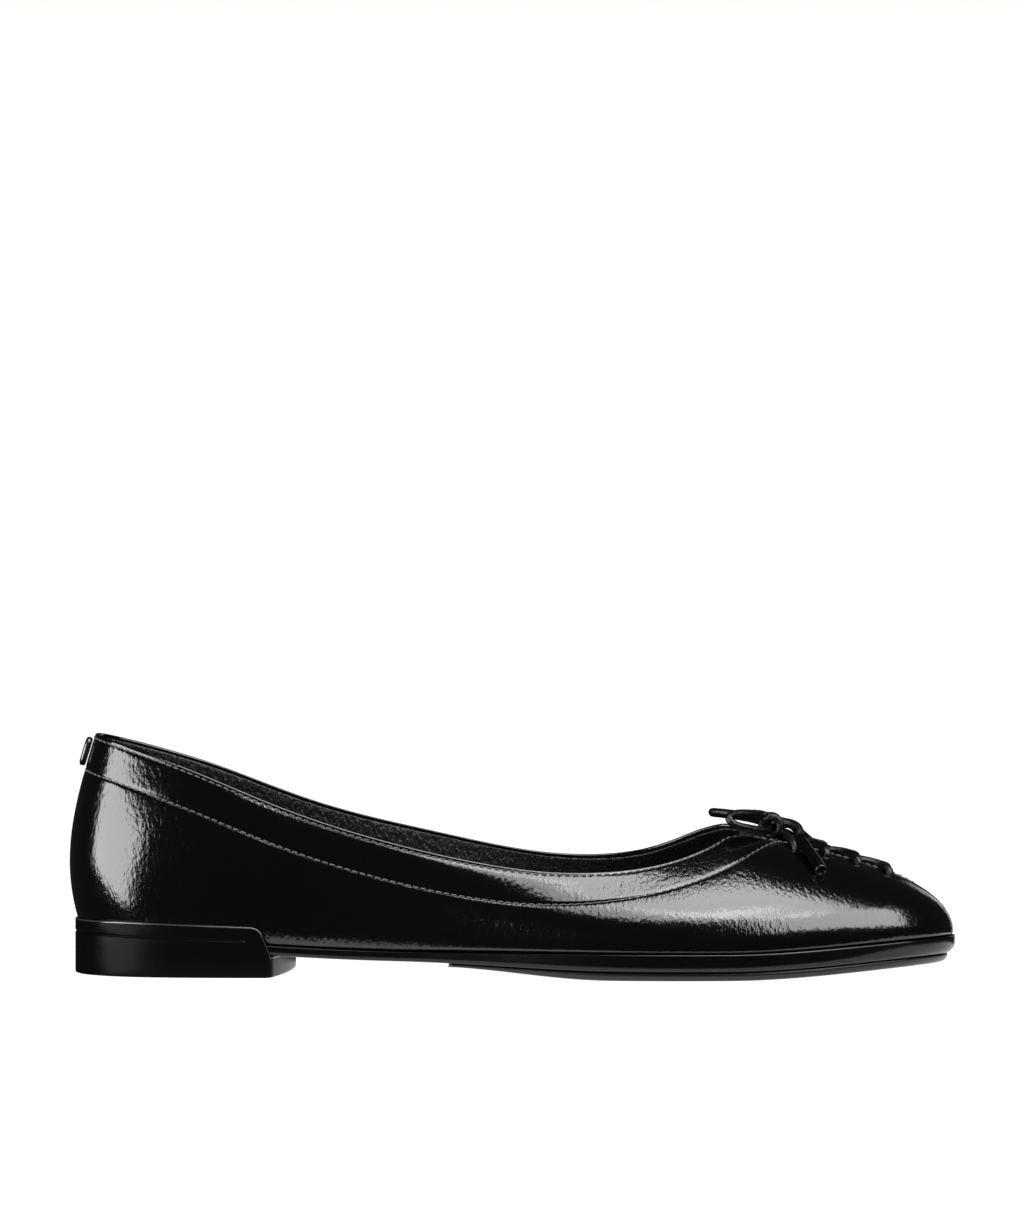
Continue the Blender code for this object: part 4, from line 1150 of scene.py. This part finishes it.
# Faces within these distances of the rim's edge and of the groove's lower lip get the burnished
# material: glossier, and painted lighter as a painted glint line.
EDGE_GLINT_REACH = 0.42 * MM
LIP_GLINT_REACH = 0.3 * MM
edge_spine = np.column_stack((outline - heel_out * 0.15 * MM, rim_top - 0.05 * MM))
lip_spine = np.column_stack((outline, groove_z - 0.12 * MM))
for face in heel.data.polygons:
    place = np.array(face.center) - STAND
    near_edge = np.linalg.norm(edge_spine - place, axis=1).min() < EDGE_GLINT_REACH
    near_lip = np.linalg.norm(lip_spine - place, axis=1).min() < LIP_GLINT_REACH
    if near_edge or (near_lip and place[0] < GROOVE_END):
        face.material_index = 1
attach(heel, "root")
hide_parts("heel")

# Lacing. One thin rolled leather cord that comes up through each hole, crosses the slit and
# dives under its other edge on the way to the next hole. The inner side's strand lies on top.
LACE = 2.4 * MM
LACE_LIE = LACE / 2 + CLEARANCE
CORD_SIDES = 20
CORD_PITCH = 0.4 * MM
CURVE_STEPS = 24
SMOOTHINGS = 8
END_TAPER = (0.62, 0.88, 0.97)
# The lap seam's lip and the groove beside it, as shares of the radius: height, turn from the
# seam and width in radians. The seam winds slowly round the cord.
LAP_SEAM = ((0.075, 0, 0.32), (-0.07, 0.55, 0.22))
SEAM_TWIST = 0.012
CREASE_DEPTH = 0.07
CREASE_PACE = 2.3
# Slow waves in the cord's surface: height as a share of the radius, pace along it, waves round it
CORD_WAVES = ((0.018, 0.31, 2), (0.012, 0.83, 1))
CORD_GIRTH = 0.98


def smooth_route(points):
    """Evenly spaced places on a smooth curve through a cord's own points."""
    knots = [np.array(point, float) for point in points]
    line = [knots[0] * 2 - knots[1], *knots, knots[-1] * 2 - knots[-2]]
    dense = []
    for i in range(1, len(line) - 2):
        before, start, end, after = line[i - 1:i + 3]
        for t in np.arange(CURVE_STEPS) / CURVE_STEPS:
            dense.append(0.5 * (2 * start + (end - before) * t
                                + (2 * before - 5 * start + 4 * end - after) * t * t
                                + (3 * start - before - 3 * end + after) * t**3))
    dense = np.array(dense + [knots[-1]])
    along = lengths_along(dense)
    spots = np.linspace(0, along[-1], max(int(along[-1] / CORD_PITCH), 4))
    centres = places_along(dense, along, spots)
    for _ in range(SMOOTHINGS):
        centres[1:-1] = (centres[:-2] + 2 * centres[1:-1] + centres[2:]) / 4
    return centres


def rolled_cord(points, seam=0.0):
    """Rolled leather cord: ring centres, vertices and faces. It has a lap seam along one side
    and small creases inside its bends."""
    centres = smooth_route(points)
    count = len(centres)
    ways = np.gradient(centres, axis=0)
    ways /= np.linalg.norm(ways, axis=1)[:, None]
    bends = np.gradient(ways, axis=0) / CORD_PITCH
    side = np.cross(ways[0], (0.3, 0.2, 1))
    side /= np.linalg.norm(side)
    vertices = []
    for i in range(count):
        side = side - ways[i] * np.dot(side, ways[i])
        side /= np.linalg.norm(side)
        other = np.cross(ways[i], side)
        bend = np.linalg.norm(bends[i])
        inward = bends[i] / max(bend, 1e-9)
        from_end = min(i, count - 1 - i)
        taper = END_TAPER[from_end] if from_end < len(END_TAPER) else 1
        for k in range(CORD_SIDES):
            turn = 2 * math.pi * k / CORD_SIDES
            arm = math.cos(turn) * side + math.sin(turn) * other
            lap = math.remainder(turn - seam - SEAM_TWIST * i, 2 * math.pi)
            lip = sum(high * math.exp(-((lap - away) / wide)**2) for high, away, wide in LAP_SEAM)
            crease = min(bend * LACE, 1) * max(0, float(np.dot(arm, inward)))
            crease *= CREASE_DEPTH * math.sin(CREASE_PACE * i)
            wave = sum(high * math.sin(pace * i + waves * turn)
                       for high, pace, waves in CORD_WAVES)
            radius = LACE / 2 * taper * (CORD_GIRTH + lip + crease + wave)
            vertices.append(centres[i] + arm * radius)
    return centres, vertices, tube_faces(count, CORD_SIDES)


def joined(parts):
    """Vertices and faces of several meshes in one."""
    vertices, faces = [], []
    for part_vertices, part_faces in parts:
        start = len(vertices)
        vertices.extend(part_vertices)
        faces.extend(tuple(start + corner for corner in face) for face in part_faces)
    return vertices, faces


cord_leather = leather_material("rolled cord leather", (0.0014, 0.0014, 0.0015), 0.28, 0.0,
                                grain=0.42, grain_depth=0.16, swell=0.06, shine=0.36)
LOWER_STRAND_SINK = 1.8 * MM
UPPER_STRAND_SINK = 0.4 * MM
# A strand's way in millimetres: out of the leather where it stands in its hole, onward and up
# as it leaves the hole, and outward and up from the slit's other edge.
IN_HOLE = (-1.9, 0.1)
OVER_HOLE = ((1.1, 0.85), (2.6, 0.8))
UNDER_EDGE = ((-2.4, 0.1), (-0.6, -1.2), (1.6, -2.7))
CROSSING_SAG = 0.5 * MM


def crossing(number, side, sink):
    """One strand, from inside its hole over the slit and down under the other edge."""
    x_front, half_front = hole_places()[number]
    x_back, half_back = hole_places()[number + 1]
    hole, normal = on_vamp(x_front, SLIT_Y + side * half_front)
    spots = [hole + normal * out * MM for out in IN_HOLE]
    way = Vector((x_back - x_front, -side * (half_front + half_back), 0)).normalized()
    for step, rise in OVER_HOLE:
        place, up = on_vamp(hole.x + way.x * step * MM, hole.y + way.y * step * MM)
        spots.append(place + up * rise * MM)
    middle, _ = on_vamp((x_front + x_back) / 2, SLIT_Y)
    spots.append(middle + Vector((0, 0, LACE_LIE - CROSSING_SAG - sink)))
    edge = half_back - HOLE_SETBACK
    for out, rise in UNDER_EDGE:
        place, up = on_vamp(x_back, SLIT_Y - side * (edge + out * MM))
        spots.append(place + up * rise * MM)
    return spots


strands = []
for number in range(HOLE_PAIRS - 1):
    for side, sink in ((-1, LOWER_STRAND_SINK), (1, UPPER_STRAND_SINK)):
        strands.append(rolled_cord(crossing(number, side, sink), seam=number + side)[1:])
lacing = lay_piece("vamp_lacing", *joined(strands), cord_leather)
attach(lacing, "root")
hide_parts("lacing_1", "lacing_2", "lacing_3")

# Bow. The two ends of the lace come up through the last holes, cross under the knot and are
# tied into two small loops, with the same cord wrapped round their middle. The loops and ends
# run through the places listed below, and the outer loop leans on the vamp.
KNOT_SETBACK = 6.6 * MM
KNOT_RISE = 2.6 * MM
WRAP_REACH = 2.75 * MM
WRAP_RISE = 2.75 * MM
WRAP_MIDDLE = np.array((-0.05, 0, -0.6)) * MM
under_knot, _ = on_vamp(hole_places()[-1][0] - KNOT_SETBACK, SLIT_Y)
KNOT = np.array(under_knot) + (0, 0, KNOT_RISE)

# Places in millimetres from the middle of the knot, in the order in which the cord runs
INTO_OUTER_LOOP = ((0.4, 0.8, 1.4), (-1.5, -0.4, 2.3))
OUTER_LOOP = ((-3.2, -1.6, 2.7), (-7.4, -7.6, 3.2), (-10.5, -10.6, 3.2), (-12.1, -12.6, 2.7),
              (-12.1, -13.8, 1.6), (-10.6, -13.6, 0.3), (-7.8, -12.0, -0.6),
              (-5.0, -9.6, -1.2), (-2.6, -6.8, -1.7), (-1.5, -4.6, -1.9))
OUT_OF_OUTER_LOOP = ((-0.9, -3.0, -1.6), (-0.3, -1.0, -0.6))
INTO_INNER_LOOP = ((-0.2, -0.6, 0.9), (-1.8, 0.7, 1.8))
INNER_LOOP = ((-3.4, 1.9, 2.2), (-7.0, 5.5, 2.0), (-11.0, 9.0, 2.3), (-14.8, 11.7, 2.6),
              (-16.4, 14.0, 2.5), (-14.8, 16.0, 2.1), (-10.4, 14.8, 1.6), (-5.6, 10.9, 0.9),
              (-1.7, 4.5, 0.2))
OUT_OF_INNER_LOOP = ((-0.5, 2.4, 0.0), (0.2, 0.4, -0.2))
FEED_FROM_INNER_HOLE = ((6.6, 10.6, -7.4), (6.5, 10.2, -5.0), (5.6, 8.0, -3.6), (4.3, 5.0, -2.9),
                        (2.7, 2.2, -2.1), (1.1, 0.5, -1.2), (0.5, -0.8, -0.1), (1.2, -1.6, 0.8),
                        (2.5, -1.8, 0.8))
OUTER_TAIL = ((4.0, -2.3, 0.5), (5.8, -3.6, 0.2), (7.3, -5.4, -0.6), (7.9, -7.4, -1.8),
              (7.6, -9.2, -3.1))
FEED_FROM_OUTER_HOLE = ((6.6, -10.6, -8.3), (6.5, -10.2, -5.8), (5.4, -7.8, -4.1),
                        (3.9, -4.8, -3.1), (2.4, -2.4, -2.3), (0.9, -0.3, -1.4), (0.4, 1.2, -0.4),
                        (1.1, 2.2, 0.2), (2.4, 2.4, 0.2))
INNER_TAIL = ((3.6, 2.2, -0.2), (5.4, 4.6, -0.5), (6.8, 7.2, -1.3), (7.6, 9.2, -2.3))
OUTER_AGLET_WAY = (5.6, -12.3, -8.7)
INNER_AGLET_WAY = (5.5, 11.6, -5.6)


def from_knot(*stretches):
    return [KNOT + np.array(point) * MM for stretch in stretches for point in stretch]


# The wrap's route: degrees round the Y axis from the top, share of its full reach, and place
# across in millimetres
WRAP_TURNS = ((-80, 0.3, 0.2), (-62, 0.62, -0.8), (-42, 0.9, -1.8), (-18, 1, -2.4), (10, 1, -2.7),
              (40, 1, -2.8), (70, 1, -2.85), (100, 1, -2.85), (130, 1, -2.75), (160, 1, -2.5),
              (188, 1, -2.0), (214, 0.97, -1.2), (240, 0.93, -0.4), (270, 0.92, 0.3),
              (300, 0.95, 0.9), (330, 1, 1.3), (360, 1, 1.6), (395, 1, 1.8), (425, 1, 1.8),
              (455, 1, 1.8), (485, 0.98, 1.7), (510, 0.8, 1.4), (535, 0.45, 0.8))


def wrap_route():
    """The cord round the middle of the bow, which hides where the loops and ends cross."""
    spots = []
    for turn, share, across in WRAP_TURNS:
        angle = math.radians(turn)
        spots.append(KNOT + WRAP_MIDDLE + (WRAP_REACH * share * math.sin(angle), across * MM,
                                           WRAP_RISE * share * math.cos(angle)))
    return spots


wrap = lay_piece("bow_wrap", *rolled_cord(wrap_route(), seam=2.2)[1:], cord_leather)
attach(wrap, "root")
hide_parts("bow_knot")

for side, stretches in (("outer", (INTO_OUTER_LOOP, OUTER_LOOP, OUT_OF_OUTER_LOOP)),
                        ("inner", (INTO_INNER_LOOP, INNER_LOOP, OUT_OF_INNER_LOOP))):
    centres, vertices, faces = rolled_cord(from_knot(*stretches), seam=1.1)
    loop = lay_piece(f"bow_loop_{side}_cord", vertices, faces, cord_leather)
    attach(loop, "root")
    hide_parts(f"bow_loop_{side}")

# Lace tips. Turned sleeves of black plastic pushed over the cord's ends, a little wider toward
# their open ends, whose polished rims catch the light; the rims are also painted a little
# lighter than the sleeves, as a painted glint.
AGLET_LENGTH = 16 * MM
AGLET_NARROW = 2.9 * MM
AGLET_WIDE = 3.6 * MM
AGLET_SIDES = 40
INSIDE_AGLET = 4 * MM
RIM_GLINT_LENGTH = 0.3 * MM
# Profile in millimetres at the mouth: along, and in from the narrow radius. At the open end and
# into its bore: back from the end, and in from the wide radius.
TIP_MOUTH = ((0.0, 0.28), (0.04, 0.12), (0.2, 0))
TIP_RIM = ((0.5, 0), (0.22, 0.03), (0.07, 0.12), (0, 0.28), (0.05, 0.44), (0.25, 0.52),
           (0.9, 0.56), (1.1, 1.2))


def tip_profile():
    """Distance from the narrow end and radius, from the mouth round the open end into the bore."""
    narrow, wide = AGLET_NARROW / 2, AGLET_WIDE / 2
    mouth = [(along * MM, narrow - inward * MM) for along, inward in TIP_MOUTH]
    sleeve = [(AGLET_LENGTH * share, narrow + (wide - narrow) * smooth(share))
              for share in np.linspace(0.1, 0.9, 9)]
    rim = [(AGLET_LENGTH - back * MM, wide - inward * MM) for back, inward in TIP_RIM]
    return mouth + sleeve + rim


moulded = leather_material("black moulded lace tip", (0.001, 0.001, 0.001), 0.24, 0.0,
                           grain=2.2, grain_depth=0.012, swell=0.01, shine=0.1)
# The rim is really glossier than the sleeve, and its colour is also painted lighter: a painted
# glint.
glossy_rim_and_painted_glint = leather_material("glossy lace tip rim with painted glint", (0.006, 0.006, 0.006), 0.12, 0.4,
                            grain=2.2, grain_depth=0.01, swell=0.01)
profile = tip_profile()
tips = {}
for side, tail, way in (("outer", OUTER_TAIL, OUTER_AGLET_WAY),
                        ("inner", INNER_TAIL, INNER_AGLET_WAY)):
    direction = Vector(way).normalized()
    start = Vector(from_knot(tail)[-1]) + direction * (CLEARANCE + LACE / 8)
    across = direction.orthogonal().normalized()
    arms = arms_round(across, direction.cross(across), AGLET_SIDES)
    vertices = [start + direction * float(along) + arm * float(radius)
                for along, radius in profile for arm in arms]
    tip = lay_piece(f"lace_tip_{side}", vertices, tube_faces(len(profile), AGLET_SIDES), moulded)
    tip.data.materials.append(glossy_rim_and_painted_glint)
    rim_start = start + direction * (AGLET_LENGTH - RIM_GLINT_LENGTH) + Vector(STAND)
    for face in tip.data.polygons:
        if (face.center - rim_start).dot(direction) > 0:
            face.material_index = 1
    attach(tip, "root")
    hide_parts(f"aglet_{side}")
    tips[side] = (tip, start + direction * INSIDE_AGLET)

for side, feed, tail in (("outer", FEED_FROM_INNER_HOLE, OUTER_TAIL),
                         ("inner", FEED_FROM_OUTER_HOLE, INNER_TAIL)):
    tip, inside_tip = tips[side]
    centres, vertices, faces = rolled_cord(from_knot(feed, tail) + [inside_tip], seam=0.4)
    end = lay_piece(f"lace_end_{side}", vertices, faces, cord_leather)
    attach(end, "root")
    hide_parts(f"bow_tail_{side}")

# Back bar. A plain rounded bar of dark polished metal, which lies on the back seam just under
# the topline. Its edges are rounded over toward its face.
BAR_HEIGHT = 8.3 * MM
BAR_WIDTH = 6 * MM
BAR_THICKNESS = 1.8 * MM
BELOW_TOPLINE = 1.4 * MM
BAR_SIDES = 64
BAR_CORNERS = 0.62
# From its back (-1) to its face (1), and how far its outline is drawn in there, in millimetres
BAR_PROFILE = ((-1, 0.55), (-0.9, 0.25), (-0.7, 0.08), (-0.35, 0), (0.2, 0), (0.55, 0.12),
               (0.78, 0.34), (0.92, 0.68), (1, 1.15))


def metal_material(name, color, roughness):
    """Dark plated metal with the fine lines that polishing leaves."""
    material, shader = plain_material(name, color)
    shader.inputs["Metallic"].default_value = 1
    place = add_node(material, "ShaderNodeTexCoord")
    lines = add_node(material, "ShaderNodeMapping", Scale=(8, 8, 0.6))
    wear = add_node(material, "ShaderNodeTexNoise", Scale=1 / (2 * MM))
    polish = add_node(material, "ShaderNodeMapRange",
                      To_Min=roughness * 0.7, To_Max=roughness * 1.4)
    bump = add_node(material, "ShaderNodeBump", Distance=0.004 * MM)
    links = material.node_tree.links
    links.new(place.outputs["Object"], lines.inputs["Vector"])
    links.new(lines.outputs["Vector"], wear.inputs["Vector"])
    links.new(wear.outputs["Fac"], polish.inputs["Value"])
    links.new(polish.outputs["Result"], shader.inputs["Roughness"])
    links.new(wear.outputs["Fac"], bump.inputs["Height"])
    links.new(bump.outputs["Normal"], shader.inputs["Normal"])
    return material


back_v = np.linspace(0, 1, 200)
back_line = last_point(np.zeros(len(back_v)), back_v)
bar_top = BACK_HEIGHT - BELOW_TOPLINE


def on_back(z):
    return places_along(back_line, back_line[:, 2], z)[0]


def squared(value):
    """Cosine or sine that draws a circle out toward its corners."""
    return math.copysign(abs(value)**BAR_CORNERS, value)


bar_middle = on_back(bar_top - BAR_HEIGHT / 2)
bar_up = on_back(bar_top) - bar_middle
bar_up /= np.linalg.norm(bar_up)
bar_out = np.cross(bar_up, (0, 1, 0))
vertices = []
for share, pull in BAR_PROFILE:
    centre = bar_middle + bar_out * (CLEARANCE + BAR_THICKNESS * (1 + share) / 2)
    half_wide, half_high = BAR_WIDTH / 2 - pull * MM, BAR_HEIGHT / 2 - pull * MM
    for k in range(BAR_SIDES):
        turn = 2 * math.pi * k / BAR_SIDES
        vertices.append(centre + np.array((0, 1, 0)) * squared(math.cos(turn)) * half_wide
                        + bar_up * squared(math.sin(turn)) * half_high)
bar = lay_piece("back_bar_plate", vertices, tube_faces(len(BAR_PROFILE), BAR_SIDES),
                metal_material("dark polished metal", (0.09, 0.09, 0.093), 0.26))
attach(bar, "root")
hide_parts("back_bar")

# Floor and studio. A plain pale floor, with a white board under the shoe that only its gloss
# sees, and five softboxes: low beside the heel, overhead, high in front, before the toe, and a
# strip behind the toe. The camera keeps the photo's angle to the shoe.
FLOOR_REACH = 6.0
BOARD_BACK, BOARD_FRONT = -0.118, 0.2
BOARD_HALF_WIDTH = 0.046
BOARD_DROP = 0.05 * MM
pale, shader = plain_material("pale floor", (0.06, 0.06, 0.06), 1)
shader.inputs["Emission Color"].default_value = (1, 1, 1, 1)
shader.inputs["Emission Strength"].default_value = 1.02


def flat_sheet(name, back, front, half_width):
    """A pale rectangle that lies level and casts no shadow."""
    mesh = bpy.data.meshes.new(name)
    mesh.from_pydata([(back, -half_width, 0), (front, -half_width, 0),
                      (front, half_width, 0), (back, half_width, 0)], [], [(0, 1, 2, 3)])
    mesh.materials.append(pale)
    sheet = bpy.data.objects.new(name, mesh)
    bpy.context.collection.objects.link(sheet)
    sheet.visible_shadow = False
    return sheet


floor = flat_sheet("floor", -FLOOR_REACH, FLOOR_REACH, FLOOR_REACH)
floor.visible_glossy = False
board = flat_sheet("board", BOARD_BACK, BOARD_FRONT, BOARD_HALF_WIDTH)
board.location.z = -BOARD_DROP
board.visible_camera = False
board.visible_diffuse = False

world = bpy.data.worlds.new("studio")
bpy.context.scene.world = world
world.use_nodes = True
world.node_tree.nodes.clear()
output = add_node(world, "ShaderNodeOutputWorld")
mix = add_node(world, "ShaderNodeMixShader")
path = add_node(world, "ShaderNodeLightPath")
dark = add_node(world, "ShaderNodeBackground", Color=(0.02, 0.02, 0.02, 1))
white = add_node(world, "ShaderNodeBackground", Color=(1, 1, 1, 1))
links = world.node_tree.links
links.new(path.outputs["Is Camera Ray"], mix.inputs["Fac"])
links.new(dark.outputs["Background"], mix.inputs[1])
links.new(white.outputs["Background"], mix.inputs[2])
links.new(mix.outputs["Shader"], output.inputs["Surface"])

LIGHTS_AIM = Vector((0, 0, 0.02))


def softbox(name, azimuth, elevation, distance, width, height, glow, roll=0):
    """Area light seen from the shoe in that direction, in degrees: azimuth 0 is the camera's
    side. roll turns the light about its own direction."""
    light = bpy.data.lights.new(name, "AREA")
    light.shape = "RECTANGLE"
    light.size = width
    light.size_y = height
    light.energy = glow * width * height * math.pi
    lamp = bpy.data.objects.new(name, light)
    turn, rise = math.radians(azimuth), math.radians(elevation)
    way = Vector((math.sin(turn) * math.cos(rise), -math.cos(turn) * math.cos(rise),
                  math.sin(rise)))
    lamp.location = LIGHTS_AIM + way * distance
    lean = Quaternion(way, math.radians(roll))
    lamp.rotation_euler = (lean @ way.to_track_quat("Z", "Y")).to_euler()
    bpy.context.collection.objects.link(lamp)
    lamp.visible_camera = False


softbox("heel softbox", -60, 7, 1.6, 1.3, 1.15, 8.5, roll=-27)
softbox("overhead softbox", 42, 68, 1.2, 0.88, 0.62, 7.4, roll=-69)
softbox("front softbox", 6, 60, 1.2, 0.64, 0.36, 5)
softbox("toe softbox", 56, 35, 1.6, 1.5, 0.9, 6.4, roll=-8)
softbox("toe rim strip", 157, 6, 1.5, 0.16, 0.75, 1.2)

CAMERA_DISTANCE = 2.2
CAMERA_RISE = math.radians(3.17)
CAMERA_TILT = math.radians(1.41)
CAMERA_ALONG = 124.8 * MM
AIM_HEIGHT = 33 * MM
camera_data = bpy.data.cameras.new("camera")
camera_data.lens = 227.9
camera_data.sensor_width = 36
camera = bpy.data.objects.new("camera", camera_data)
camera.location = (CAMERA_ALONG + STAND[0], STAND[1] - CAMERA_DISTANCE,
                   AIM_HEIGHT + CAMERA_DISTANCE * math.tan(CAMERA_RISE))
camera.rotation_euler = (math.pi / 2 - CAMERA_TILT, 0, 0)
bpy.context.collection.objects.link(camera)
bpy.context.scene.camera = camera
bpy.context.scene.view_settings.view_transform = "Standard"
